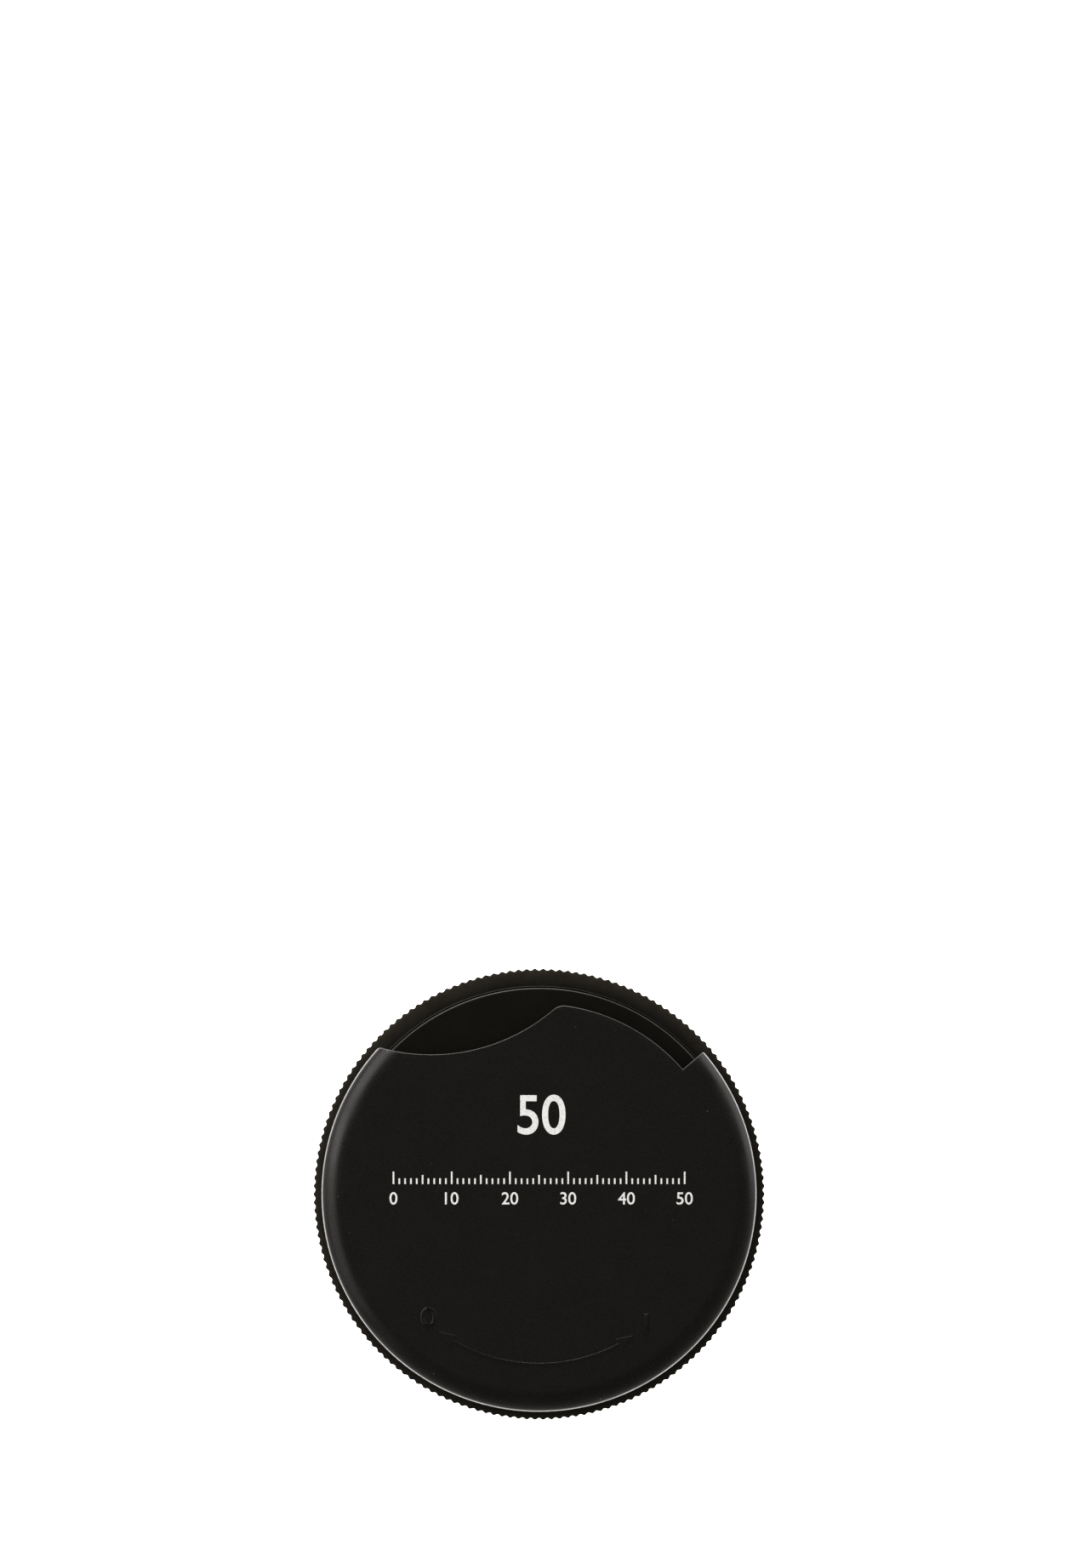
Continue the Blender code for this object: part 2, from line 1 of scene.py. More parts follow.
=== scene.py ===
"""Looks of a round floss dispenser: its fine surfaces and finishes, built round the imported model.

After the lights it follows the dispenser as it is put together: case, label, spool, floss, deck,
cutter, free end of the floss, cover, marks and print. Lengths are in metres and angles in degrees.
"""
from math import acos, cos, degrees, pi, radians, sin, tan, tau

import bmesh
import bpy
from mathutils import Matrix, Vector


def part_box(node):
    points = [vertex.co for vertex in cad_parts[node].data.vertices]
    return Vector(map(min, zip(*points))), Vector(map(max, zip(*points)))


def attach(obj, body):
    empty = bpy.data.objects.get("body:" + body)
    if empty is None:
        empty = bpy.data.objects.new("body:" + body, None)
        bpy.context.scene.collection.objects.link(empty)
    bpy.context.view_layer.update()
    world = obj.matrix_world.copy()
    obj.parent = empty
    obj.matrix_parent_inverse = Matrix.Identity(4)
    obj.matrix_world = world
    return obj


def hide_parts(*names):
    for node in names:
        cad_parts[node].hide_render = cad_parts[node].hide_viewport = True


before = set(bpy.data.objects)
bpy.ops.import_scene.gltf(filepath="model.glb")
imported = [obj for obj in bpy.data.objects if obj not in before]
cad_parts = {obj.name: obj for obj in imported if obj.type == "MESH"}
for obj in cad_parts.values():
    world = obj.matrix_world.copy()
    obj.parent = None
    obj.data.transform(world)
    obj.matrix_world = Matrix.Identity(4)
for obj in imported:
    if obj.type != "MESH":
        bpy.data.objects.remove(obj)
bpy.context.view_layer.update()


# Camera: far above the middle of the dispenser and turned up a little, which puts the dispenser low in
# the picture and shows none of its side. The picture's frame is placed by where the rim stands in it.
PICTURE_HEIGHT_PIXELS = 1843
RIM_WIDTH_PIXELS = 530.3
RIM_MIDDLE_PIXELS = (-6.4, -482.1)      # from the middle of the picture, to the right and up
CAMERA_DISTANCE = 3.0
CLIP_SHARES = (0.1, 2.0)                # nearest and farthest that it sees, as shares of that
SENSOR_MILLIMETRES = 36.0
RIM_HEIGHT = 0.0124


def add_object(name, data):
    """Object in the scene that holds some data."""
    made = bpy.data.objects.new(name, data)
    bpy.context.scene.collection.objects.link(made)
    return made


rim_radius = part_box("base_case")[1].x
pixel = 2 * rim_radius / RIM_WIDTH_PIXELS
rim_middle = Vector((0, 0, RIM_HEIGHT))
picture_middle = rim_middle - Vector((*RIM_MIDDLE_PIXELS, 0)) * pixel
camera_place = rim_middle + Vector((0, 0, CAMERA_DISTANCE))
backward = (camera_place - picture_middle).normalized()
rightward = Vector((0, 1, 0)).cross(backward).normalized()
upward = backward.cross(rightward)
camera_data = bpy.data.cameras.new("camera")
camera_data.sensor_width = SENSOR_MILLIMETRES
camera_data.lens = SENSOR_MILLIMETRES * CAMERA_DISTANCE / (PICTURE_HEIGHT_PIXELS * pixel)
camera_data.clip_start = CAMERA_DISTANCE * CLIP_SHARES[0]
camera_data.clip_end = CAMERA_DISTANCE * CLIP_SHARES[1]
camera = add_object("camera", camera_data)
facing = Matrix((rightward, upward, backward)).transposed()
camera.matrix_world = Matrix.LocRotScale(camera_place, facing, None)
bpy.context.scene.camera = camera

# The picture has white whites and deep blacks, so it is exposed high and its dark tones are pressed down.
EXPOSURE_STOPS = 2.2
TONE_GAMMA = 0.7

display = bpy.context.scene.view_settings
display.view_transform = "Standard"
display.exposure = EXPOSURE_STOPS
display.gamma = TONE_GAMMA


# Floor: a white sheet lit from behind, as product photographs use, so that hardly a shadow shows.
# It can be looked through from below, where the underside of the case is seen.
FLOOR_HALF = 1.6
FLOOR_HEIGHT = -0.00002
FLOOR_COLOUR = (0.86, 0.86, 0.86, 1)
FLOOR_GLOW = 0.50


def node(tree, kind, inputs=None, **settings):
    """Add a shader node; its inputs are named or numbered, and hold a value or another node's output."""
    made = tree.nodes.new(kind)
    for name, value in settings.items():
        setattr(made, name, value)
    for name, value in (inputs or {}).items():
        if isinstance(value, bpy.types.NodeSocket):
            tree.links.new(value, made.inputs[name])
        else:
            made.inputs[name].default_value = value
    return made


def stretch(tree, value, low, high, to_low=0.0, to_high=1.0):
    """Value stretched from one range to another, and kept inside it."""
    inputs = {"Value": value, 1: low, 2: high, 3: to_low, 4: to_high}
    return node(tree, "ShaderNodeMapRange", inputs).outputs[0]


def new_material(name, **values):
    """Material with a Principled shader whose even values are set on its own sockets."""
    material = bpy.data.materials.new(name)
    material.use_nodes = True
    shader = material.node_tree.nodes["Principled BSDF"]
    for label, value in values.items():
        shader.inputs[label.replace("_", " ").title()].default_value = value
    return material, material.node_tree, shader


def as_mesh(name, solid):
    """Mesh that takes over a solid."""
    mesh = bpy.data.meshes.new(name)
    solid.to_mesh(mesh)
    solid.free()
    return mesh


floor_finish, tree, shader = new_material(
    "white_sheet", base_color=FLOOR_COLOUR, roughness=0.9, emission_color=(1, 1, 1, 1),
    emission_strength=FLOOR_GLOW)
from_below = node(tree, "ShaderNodeNewGeometry").outputs["Backfacing"]
see_through = node(tree, "ShaderNodeBsdfTransparent").outputs[0]
sheet = node(tree, "ShaderNodeMixShader", {0: from_below, 1: shader.outputs[0], 2: see_through})
tree.links.new(sheet.outputs[0], tree.nodes["Material Output"].inputs["Surface"])
shape = bmesh.new()
bmesh.ops.create_grid(shape, x_segments=1, y_segments=1, size=FLOOR_HALF)
bmesh.ops.translate(shape, verts=shape.verts, vec=(0, 0, FLOOR_HEIGHT))
floor_mesh = as_mesh("floor", shape)
floor_mesh.materials.append(floor_finish)
floor = add_object("floor", floor_mesh)


# Studio: a softbox high on the upper left and a weaker one on the left, broad ones low on the right
# and beyond, and a dim room that is dark overhead, where the camera hangs, and brighter at the horizon.
ROOM_LEVELS = (
    # sine of the height angle, brightness
    (0.0, 0.36), (0.14, 0.24), (0.28, 0.15), (0.41, 0.09), (0.64, 0.04), (0.87, 0.035), (1.0, 0.055),
)
ROOM_TINT = (1.03, 1.0, 0.93)
ROOM_SIDES = (1.1, 1.2)                 # share of that brightness on the near and on the far side
SOFTBOXES = (
    # name, width, height, distance, azimuth, height angle, radiance
    ("key_softbox", 0.50, 0.25, 0.5, 140, 38, 0.76),
    ("left_softbox", 0.36, 0.24, 0.5, 188, 40, 0.34),
    ("right_softbox", 1.7, 0.75, 1.6, 31, 19, 0.56),
    ("back_softbox", 1.3, 0.45, 1.6, 98, 11, 2.6),
)


def polar(radius, angle, height=0.0):
    """Point at a radius, an angle and a height."""
    return Vector((radius * cos(radians(angle)), radius * sin(radians(angle)), height))


world = bpy.data.worlds.new("studio")
bpy.context.scene.world = world
world.use_nodes = True
sky = world.node_tree
sky.nodes.clear()
direction = node(sky, "ShaderNodeTexCoord").outputs["Generated"]
towards_sky = node(sky, "ShaderNodeSeparateXYZ", {"Vector": direction}).outputs
ramp = node(sky, "ShaderNodeValToRGB", {"Fac": towards_sky["Z"]})
while len(ramp.color_ramp.elements) < len(ROOM_LEVELS):
    ramp.color_ramp.elements.new(0.5)
for stop, (place, level) in zip(ramp.color_ramp.elements, ROOM_LEVELS):
    stop.position = place
    stop.color = (*(level * tint for tint in ROOM_TINT), 1)
far_side = stretch(sky, towards_sky["Y"], -1.0, 1.0, *ROOM_SIDES)
room = node(sky, "ShaderNodeBackground", {"Color": ramp.outputs["Color"], "Strength": far_side}).outputs[0]
backdrop = node(sky, "ShaderNodeBackground", {"Color": (1, 1, 1, 1)}).outputs[0]
seen = node(sky, "ShaderNodeLightPath").outputs["Is Camera Ray"]
mixed = node(sky, "ShaderNodeMixShader", {0: seen, 1: room, 2: backdrop}).outputs[0]
node(sky, "ShaderNodeOutputWorld", {"Surface": mixed})

for name, width, height, distance, azimuth, rise, radiance in SOFTBOXES:
    lamp_data = bpy.data.lights.new(name, "AREA")
    lamp_data.shape = "RECTANGLE"
    lamp_data.size = width
    lamp_data.size_y = height
    lamp_data.energy = radiance * pi * width * height
    lamp = add_object(name, lamp_data)
    towards = polar(cos(radians(rise)), azimuth, sin(radians(rise)))
    lamp.location = towards * distance
    lamp.rotation_euler = towards.to_track_quat("Z", "Y").to_euler()
    lamp.visible_camera = False


# Case: an injection-moulded cup in black plastic with 170 grip ribs round its wall, a foot ring under
# it, ledges and a hollow spindle inside. The rounded ribs run from the foot up to the flat flange.
FLANGE_TOP = RIM_HEIGHT
RIB_COUNT = 170
RIB_DEPTH = 0.00022
RIB_FACETS = 8
RIB_FADE = 0.0007                       # the ribs sink into the foot chamfer and the flange over this
FOOT_CHAMFER = 0.0010
FOOT_RADIUS = 0.02575
RECESS_RADIUS = 0.02315
RECESS_DEPTH = 0.0006
MOUTH_RADIUS = 0.02486
FLOOR_TOP = 0.0020
LEDGE_TOP = 0.0109
LEDGE_COUNT = 8
LEDGE_SIZE = (0.0017, 0.0016)           # along the radius and round the wall
SPINDLE_BORE = 0.0029
SPINDLE_RADIUS = 0.0041
SPINDLE_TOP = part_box("base_case")[1].z
LIP_WIDTH = 0.00007                     # fine raised lip round the mouth
LIP_RISE = 0.00005
LIP_OVERHANG = 0.00006
SEAM_ANGLE = 91.4                       # mould parting line across the flange
SEAM_SIZE = (0.0019, 0.00008, 0.00004)
SOFT_EDGE = 0.0003
FINE_EDGE = 0.00012
CRISP_EDGE = 0.00004
MERGE = 0.000001                        # points nearer to each other than this are one
NEAR = 10 * MERGE
ROUNDING_FACETS = ((0.001, 12), (0.0002, 7), (0.0, 3))      # facets in a rounding wider than a size
CASE_COLOUR = (0.0056, 0.0045, 0.0029, 1)
# Colour of the painted light that makes the case's flange paler towards the ribs
PAINTED_LIGHT_COLOUR = (0.072, 0.061, 0.046, 1)
DUST_COLOUR = (0.30, 0.29, 0.27, 1)


def round_off(solid, items, width, facets, affect="EDGES", **others):
    """Bevel some edges, or points, of a solid to a rounding."""
    bmesh.ops.bevel(solid, geom=items, offset=width, offset_type="OFFSET", segments=facets, profile=0.5,
                    affect=affect, material=-1, **others)


def profile_wire(corners, closed):
    """Wire in the XZ plane through (radius, height, rounding) corners, each rounded by a vertex bevel."""
    wire = bmesh.new()
    points = [wire.verts.new((radius, 0, height)) for radius, height, rounding in corners]
    ends = points[1:] + points[:1] if closed else points[1:]
    for pair in zip(points, ends):
        wire.edges.new(pair)
    for point, (radius, height, rounding) in zip(points, corners):
        if rounding:
            facets = next(count for size, count in ROUNDING_FACETS if rounding > size)
            round_off(wire, [point], rounding, facets, "VERTICES")
    return wire


def oriented(solid):
    """Solid with its faces turned outward."""
    bmesh.ops.recalc_face_normals(solid, faces=solid.faces)
    return solid


def turned(corners, facets, sectors=24, closed=False):
    """Solid turned from a profile, one sector of a few facets first and then that sector all round.

    Where the profile stops short of the axis, a flat disc closes it.
    """
    solid = profile_wire(corners, closed)
    axis = {"cent": (0, 0, 0), "axis": (0, 0, 1)}
    bmesh.ops.spin(solid, geom=solid.verts[:] + solid.edges[:], angle=tau / sectors, steps=facets, **axis)
    bmesh.ops.spin(solid, geom=solid.verts[:] + solid.edges[:] + solid.faces[:], use_duplicate=True,
                   angle=tau - tau / sectors, steps=sectors - 1, **axis)
    bmesh.ops.remove_doubles(solid, verts=solid.verts, dist=MERGE)
    rims = [edge for edge in solid.edges if edge.is_boundary]
    if rims:
        bmesh.ops.holes_fill(solid, edges=rims)
    return oriented(solid)


def add_box(solid, size, matrix, rounding):
    """Add a box with rounded edges to a solid."""
    scaled = matrix @ Matrix.Diagonal((*size, 1))
    corners = bmesh.ops.create_cube(solid, size=1.0, matrix=scaled)["verts"]
    edges = list({edge for corner in corners for edge in corner.link_edges})
    round_off(solid, edges, rounding, facets=2)


def new_piece(name, solid, material, hard_angle=34.0):
    """Object at the origin that holds a solid, shaded smooth but for its hard edges."""
    mesh = as_mesh(name, solid)
    mesh.shade_smooth()
    mesh.set_sharp_from_angle(angle=radians(hard_angle))
    mesh.materials.append(material)
    made = add_object(name, mesh)
    made.modifiers.new("even_shading", "WEIGHTED_NORMAL").keep_sharp = True
    return made


def new_group(name, inputs, outputs):
    """Node group with number inputs and outputs, and those inputs as they are given inside it."""
    group = bpy.data.node_groups.new(name, "ShaderNodeTree")
    for label, value in inputs.items():
        socket = group.interface.new_socket(label, in_out="INPUT", socket_type="NodeSocketFloat")
        socket.default_value = value
    for label in outputs:
        group.interface.new_socket(label, in_out="OUTPUT", socket_type="NodeSocketFloat")
    return group, node(group, "NodeGroupInput").outputs


def maths(tree, operation, first, second=0.0, clamp=False):
    """Output of a Math node."""
    made = node(tree, "ShaderNodeMath", {0: first, 1: second}, operation=operation, use_clamp=clamp)
    return made.outputs[0]


def object_place(tree):
    """Each point's place in the object's own space."""
    return node(tree, "ShaderNodeTexCoord").outputs["Object"]


def noise(tree, place, scale, detail, **others):
    """Output of a Noise Texture node."""
    others = {label.title(): value for label, value in others.items()}
    inputs = {"Vector": place, "Scale": scale, "Detail": detail, **others}
    return node(tree, "ShaderNodeTexNoise", inputs).outputs[0]


def drawn_out(tree, place, turn, lengths, shift=0.0):
    """Place in axes that are turned about Z, shifted and drawn out."""
    inputs = {"Vector": place, "Location": (shift, shift, 0), "Rotation": (0, 0, radians(turn)),
              "Scale": lengths}
    return node(tree, "ShaderNodeMapping", inputs, vector_type="TEXTURE").outputs[0]


def dress(tree, shader, colour, height, depth, strength=1.0, roughness=None):
    """Link a shader's colour, its relief and, where it varies, its roughness."""
    tree.links.new(colour, shader.inputs["Base Color"])
    if roughness is not None:
        tree.links.new(roughness, shader.inputs["Roughness"])
    bump = node(tree, "ShaderNodeBump", {"Height": height, "Distance": depth, "Strength": strength})
    tree.links.new(bump.outputs[0], shader.inputs["Normal"])


def mixed_colour(tree, share, first, second):
    """Output of a colour mix."""
    return node(tree, "ShaderNodeMix", {0: share, 6: first, 7: second}, data_type="RGBA").outputs[2]


def use_group(tree, group, **values):
    """Outputs of a node group placed in a material, with its own values."""
    placed = node(tree, "ShaderNodeGroup", node_tree=group)
    for label, value in values.items():
        placed.inputs[label.title()].default_value = value
    return placed.outputs


# Grain of a spark-eroded mould: fine pits, and broad patches where the plastic set a little duller.
# Each range is the part of a noise that is stretched out to full contrast.
PATCH_RANGE = (0.35, 0.68)
SPECK_RANGE = (0.36, 0.64)

mould_grain, given = new_group(
    "mould_grain", {"Pits": 9000.0, "Patches": 260.0}, ("Height", "Patch", "Speck"))
place = object_place(mould_grain)
pits = noise(mould_grain, place, given["Pits"], detail=3.0, roughness=0.6)
patches = noise(mould_grain, place, given["Patches"], detail=4.0, roughness=0.55)
grain_patch = stretch(mould_grain, patches, *PATCH_RANGE)
grain_speck = stretch(mould_grain, pits, *SPECK_RANGE)
node(mould_grain, "NodeGroupOutput", {"Height": pits, "Patch": grain_patch, "Speck": grain_speck})

# Dust: lone pale specks, each in its own cell, of which only a few hold one.
dust, given = new_group("dust", {"Cells": 700.0, "Size": 0.045, "Share": 0.05}, ("Mask",))
cell_inputs = {"Vector": object_place(dust), "Scale": given["Cells"], "Randomness": 1.0}
cells = node(dust, "ShaderNodeTexVoronoi", cell_inputs).outputs
lot = node(dust, "ShaderNodeSeparateColor", {"Color": cells["Color"]}).outputs
chosen = maths(dust, "LESS_THAN", lot[0], given["Share"])
reach = maths(dust, "MULTIPLY", given["Size"], lot[1])
inside = maths(dust, "LESS_THAN", cells["Distance"], reach)
node(dust, "NodeGroupOutput", {"Mask": maths(dust, "MULTIPLY", chosen, inside)})

# Hairlines: short faint scratches from handling, in three directions. Each is a thin contour of a
# noise that is drawn out along its direction.
HAIR_TURNS = ((24.0, 0.0), (97.0, 0.031), (151.0, 0.077))   # direction, and shift of the noise
HAIR_STRETCH = (1, 22, 4)
HAIR_CONTOUR = 0.70

hairlines, given = new_group("hairlines", {"Count": 2600.0, "Width": 0.010}, ("Mask",))
place = object_place(hairlines)
lines = None
for turn, shift in HAIR_TURNS:
    spun = drawn_out(hairlines, place, turn, HAIR_STRETCH, shift)
    strands = noise(hairlines, spun, given["Count"], detail=0.0)
    off = maths(hairlines, "ABSOLUTE", maths(hairlines, "SUBTRACT", strands, HAIR_CONTOUR))
    line = maths(hairlines, "LESS_THAN", off, given["Width"])
    lines = line if lines is None else maths(hairlines, "MAXIMUM", lines, line)
node(hairlines, "NodeGroupOutput", {"Mask": lines})

# Painted rim light: painted light and shade that make the flange paler towards the grip ribs.
BLOTCH_RANGE = (0.25, 0.65)
BLOTCH_LIGHT = (0.6, 1.0)                # painted light at the ends of that range
HEIGHT_LIGHT = (0.04, 1.0)               # painted light on the wall and on the flange

painted_rim_light, given = new_group(
    "painted_rim_light", {"Start": 0.0250, "End": 0.0269, "Low": 0.0118, "High": 0.0124}, ("Mask",))
place = object_place(painted_rim_light)
flat = node(painted_rim_light, "ShaderNodeVectorMath", {0: place, 1: (1, 1, 0)}, operation="MULTIPLY")
from_axis = node(painted_rim_light, "ShaderNodeVectorMath", {0: flat.outputs[0]}, operation="LENGTH")
outward = stretch(painted_rim_light, from_axis.outputs["Value"], given["Start"], given["End"])
blotches = noise(painted_rim_light, place, 900.0, detail=4.0)
height = node(painted_rim_light, "ShaderNodeSeparateXYZ", {"Vector": place}).outputs["Z"]
on_top = stretch(painted_rim_light, height, given["Low"], given["High"], *HEIGHT_LIGHT)
rim_lit = maths(painted_rim_light, "MULTIPLY", outward, stretch(painted_rim_light, blotches, *BLOTCH_RANGE, *BLOTCH_LIGHT))
node(painted_rim_light, "NodeGroupOutput", {"Mask": maths(painted_rim_light, "MULTIPLY", rim_lit, on_top)})

# Black plastic: how strongly its specks and its dust show.
SPECK_LIGHT = 2.6                       # times the plastic's own colour
SPECK_SHARE = 0.8
DUST_COVER = 0.7
DUST_ROUGHNESS = 0.3
DUST_RISE = 2.0


def black_plastic(name, colour, gloss, dull, depth, pits, dust_share, scratch, rim_light=0.0):
    """Moulded black plastic: its grain, patches from gloss to dull roughness, hairlines, dust and painted
    rim light.
    """
    material, tree, shader = new_material(name)
    grain = use_group(tree, mould_grain, pits=pits)
    specks = use_group(tree, dust, share=dust_share)["Mask"]
    marks = use_group(tree, hairlines)["Mask"]
    lighter = (*(SPECK_LIGHT * value for value in colour[:3]), 1)
    tone = mixed_colour(tree, maths(tree, "MULTIPLY", grain["Speck"], SPECK_SHARE), colour, lighter)
    # Painted light: the flange is painted paler towards the ribs and darker by the deck's wall.
    if rim_light:
        rim_lit = use_group(tree, painted_rim_light)["Mask"]
        tone = mixed_colour(tree, maths(tree, "MULTIPLY", rim_lit, rim_light), tone, PAINTED_LIGHT_COLOUR)
    toned = mixed_colour(tree, maths(tree, "MULTIPLY", specks, DUST_COVER), tone, DUST_COLOUR)
    rough = stretch(tree, grain["Patch"], 0.0, 1.0, gloss, dull)
    scratched = maths(tree, "ADD", rough, maths(tree, "MULTIPLY", marks, scratch))
    dusted = maths(tree, "ADD", scratched, maths(tree, "MULTIPLY", specks, DUST_ROUGHNESS), clamp=True)
    height = maths(tree, "ADD", grain["Height"], maths(tree, "MULTIPLY", specks, DUST_RISE))
    dress(tree, shader, toned, height, depth, roughness=dusted)
    return material


# The case's flange carries painted light and shade: paler towards the ribs, darker by the deck's wall.
case_finish = black_plastic(
    "case_plastic", CASE_COLOUR, gloss=0.40, dull=0.52, depth=0.000004, pits=7000.0, dust_share=0.2,
    scratch=0.05, rim_light=0.9)

case_corners = [
    (RECESS_RADIUS - 4 * SOFT_EDGE, RECESS_DEPTH, 0),
    (RECESS_RADIUS, RECESS_DEPTH, SOFT_EDGE),
    (RECESS_RADIUS, 0, SOFT_EDGE / 2),
    (FOOT_RADIUS, 0, SOFT_EDGE),
    (rim_radius, FOOT_CHAMFER, SOFT_EDGE),
    (rim_radius, FLANGE_TOP, CRISP_EDGE),
    (rim_radius - 2 * RIB_DEPTH, FLANGE_TOP, 0),
    (MOUTH_RADIUS + LIP_WIDTH, FLANGE_TOP, LIP_RISE / 4),
    (MOUTH_RADIUS, FLANGE_TOP + LIP_RISE, LIP_RISE / 4),
    (MOUTH_RADIUS - LIP_OVERHANG, FLANGE_TOP + LIP_RISE, LIP_RISE / 4),
    (MOUTH_RADIUS - LIP_OVERHANG, FLANGE_TOP - LIP_RISE, 0),
    (MOUTH_RADIUS, FLANGE_TOP - 2 * LIP_RISE, 0),
    (MOUTH_RADIUS, FLOOR_TOP, SOFT_EDGE),
    (SPINDLE_RADIUS, FLOOR_TOP, SOFT_EDGE),
    (SPINDLE_RADIUS, SPINDLE_TOP, FINE_EDGE),
    (SPINDLE_BORE, SPINDLE_TOP, FINE_EDGE),
    (SPINDLE_BORE, FLOOR_TOP, FINE_EDGE),
    (SPINDLE_BORE / 2, FLOOR_TOP, 0),
]
case_solid = turned(case_corners, facets=RIB_FACETS, sectors=RIB_COUNT)
for corner in case_solid.verts:
    reach = corner.co.xy.length
    share = min(max((reach - rim_radius + RIB_FADE) / RIB_FADE, 0), 1)
    if share:
        turn = corner.co.xy.angle_signed(Vector((1, 0)))
        wave = (1 - cos(RIB_COUNT * turn)) / 2
        corner.co.xy *= (reach - RIB_DEPTH * wave * share) / reach
for ledge in range(LEDGE_COUNT):
    spread = Matrix.Rotation(radians(360 * (ledge + 0.5) / LEDGE_COUNT), 4, "Z")
    middle = (MOUTH_RADIUS - LEDGE_SIZE[0] / 2 + SOFT_EDGE, 0, (FLOOR_TOP + LEDGE_TOP) / 2)
    box_size = (*LEDGE_SIZE, LEDGE_TOP - FLOOR_TOP)
    add_box(case_solid, box_size, spread @ Matrix.Translation(middle), FINE_EDGE)
seam_middle = (rim_radius - RIB_DEPTH - SEAM_SIZE[0] / 2, 0, FLANGE_TOP)
seam_place = Matrix.Rotation(radians(SEAM_ANGLE), 4, "Z") @ Matrix.Translation(seam_middle)
add_box(case_solid, SEAM_SIZE, seam_place, SEAM_SIZE[2] / 4)
case = new_piece("ribbed_case", case_solid, case_finish, hard_angle=48.0)
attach(case, "case")
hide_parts("base_case")


# Label: a round of blank white film stuck in the recess under the case. The light shows its fibres
# and that it doesn't lie quite flat.
LABEL_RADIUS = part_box("back_label")[1].x
LABEL_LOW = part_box("back_label")[0].z
LABEL_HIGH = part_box("back_label")[1].z
LABEL_EDGE = 0.00005
LABEL_COLOUR = (0.78, 0.78, 0.76, 1)
LABEL_SHADE = (0.70, 0.70, 0.68, 1)
FIBRE_RANGE = (0.35, 0.65)
WAVE_RISE = 12.0                        # height of the film's waves, in that of its fibres

label_finish, tree, shader = new_material("label_film", roughness=0.55)
place = object_place(tree)
waves = noise(tree, place, 180.0, detail=3.0)
fibre = noise(tree, place, 4200.0, detail=2.0)
tone = mixed_colour(tree, stretch(tree, fibre, *FIBRE_RANGE), LABEL_SHADE, LABEL_COLOUR)
height = maths(tree, "ADD", fibre, maths(tree, "MULTIPLY", waves, WAVE_RISE))
dress(tree, shader, tone, height, depth=0.000004, strength=0.6)

label_corners = [
    (LABEL_RADIUS - 4 * LABEL_EDGE, LABEL_LOW, 0),
    (LABEL_RADIUS, LABEL_LOW, LABEL_EDGE),
    (LABEL_RADIUS, LABEL_HIGH, LABEL_EDGE),
    (LABEL_RADIUS - 4 * LABEL_EDGE, LABEL_HIGH, 0),
]
label = new_piece("blank_label", turned(label_corners, facets=8), label_finish)
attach(label, "case")
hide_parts("back_label")


# Spool: a bobbin moulded in natural white plastic, free to turn on the case's spindle. Its colour is
# a little cloudy, as uncoloured plastic is.
SPOOL_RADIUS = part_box("floss_spool")[1].x
SPOOL_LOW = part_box("floss_spool")[0].z
SPOOL_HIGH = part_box("floss_spool")[1].z
SPOOL_BORE = 0.0044
HUB_RADIUS = 0.0055
SPOOL_FLANGE = 0.0008
SPOOL_COLOUR = (0.80, 0.80, 0.77, 1)
SPOOL_CLOUD = (0.70, 0.71, 0.68, 1)

spool_finish, tree, shader = new_material("spool_plastic", roughness=0.42)
grain = use_group(tree, mould_grain, pits=5000.0, patches=320.0)
tone = mixed_colour(tree, grain["Patch"], SPOOL_COLOUR, SPOOL_CLOUD)
dress(tree, shader, tone, grain["Height"], depth=0.000003)

spool_corners = [
    (SPOOL_BORE, SPOOL_HIGH, FINE_EDGE),
    (SPOOL_RADIUS, SPOOL_HIGH, FINE_EDGE),
    (SPOOL_RADIUS, SPOOL_HIGH - SPOOL_FLANGE, FINE_EDGE),
    (HUB_RADIUS, SPOOL_HIGH - SPOOL_FLANGE, FINE_EDGE),
    (HUB_RADIUS, SPOOL_LOW + SPOOL_FLANGE, FINE_EDGE),
    (SPOOL_RADIUS, SPOOL_LOW + SPOOL_FLANGE, FINE_EDGE),
    (SPOOL_RADIUS, SPOOL_LOW, FINE_EDGE),
    (SPOOL_BORE, SPOOL_LOW, FINE_EDGE),
]
spool = new_piece("bobbin", turned(spool_corners, facets=7, closed=True), spool_finish)
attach(spool, "spool")
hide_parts("floss_spool")


# Wound floss: white waxed filament, laid on the bobbin turn beside turn from flange to flange.
# Under its outer layer the floss is one solid body, sized from the imported winding.
WINDING_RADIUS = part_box("floss_winding")[1].x
WINDING_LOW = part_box("floss_winding")[0].z
WINDING_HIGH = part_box("floss_winding")[1].z
WINDING_BORE = 0.00575
FLOSS_RADIUS = 0.0002
WINDING_STEP = 0.00041                  # from one turn to the next
WINDING_POINTS = 60                     # points to a turn
FLOSS_COLOUR = (0.86, 0.87, 0.84, 1)
FLOSS_SHADE = (0.66, 0.68, 0.65, 1)
HAIR_RANGE = (0.35, 0.62)
GLOSS_RANGE = (0.3, 0.7)                # from the glossiest to the dullest
FLOSS_ROUGHNESS = (0.35, 0.60)

floss_finish, tree, shader = new_material("waxed_floss", roughness=0.48, sheen_weight=0.25)
place = object_place(tree)
hair = noise(tree, place, 9000.0, detail=2.0)
wax = noise(tree, place, 1100.0, detail=2.0)
tone = mixed_colour(tree, stretch(tree, hair, *HAIR_RANGE), FLOSS_SHADE, FLOSS_COLOUR)
gloss = stretch(tree, wax, *GLOSS_RANGE, *FLOSS_ROUGHNESS)
dress(tree, shader, tone, hair, depth=0.00001, roughness=gloss)


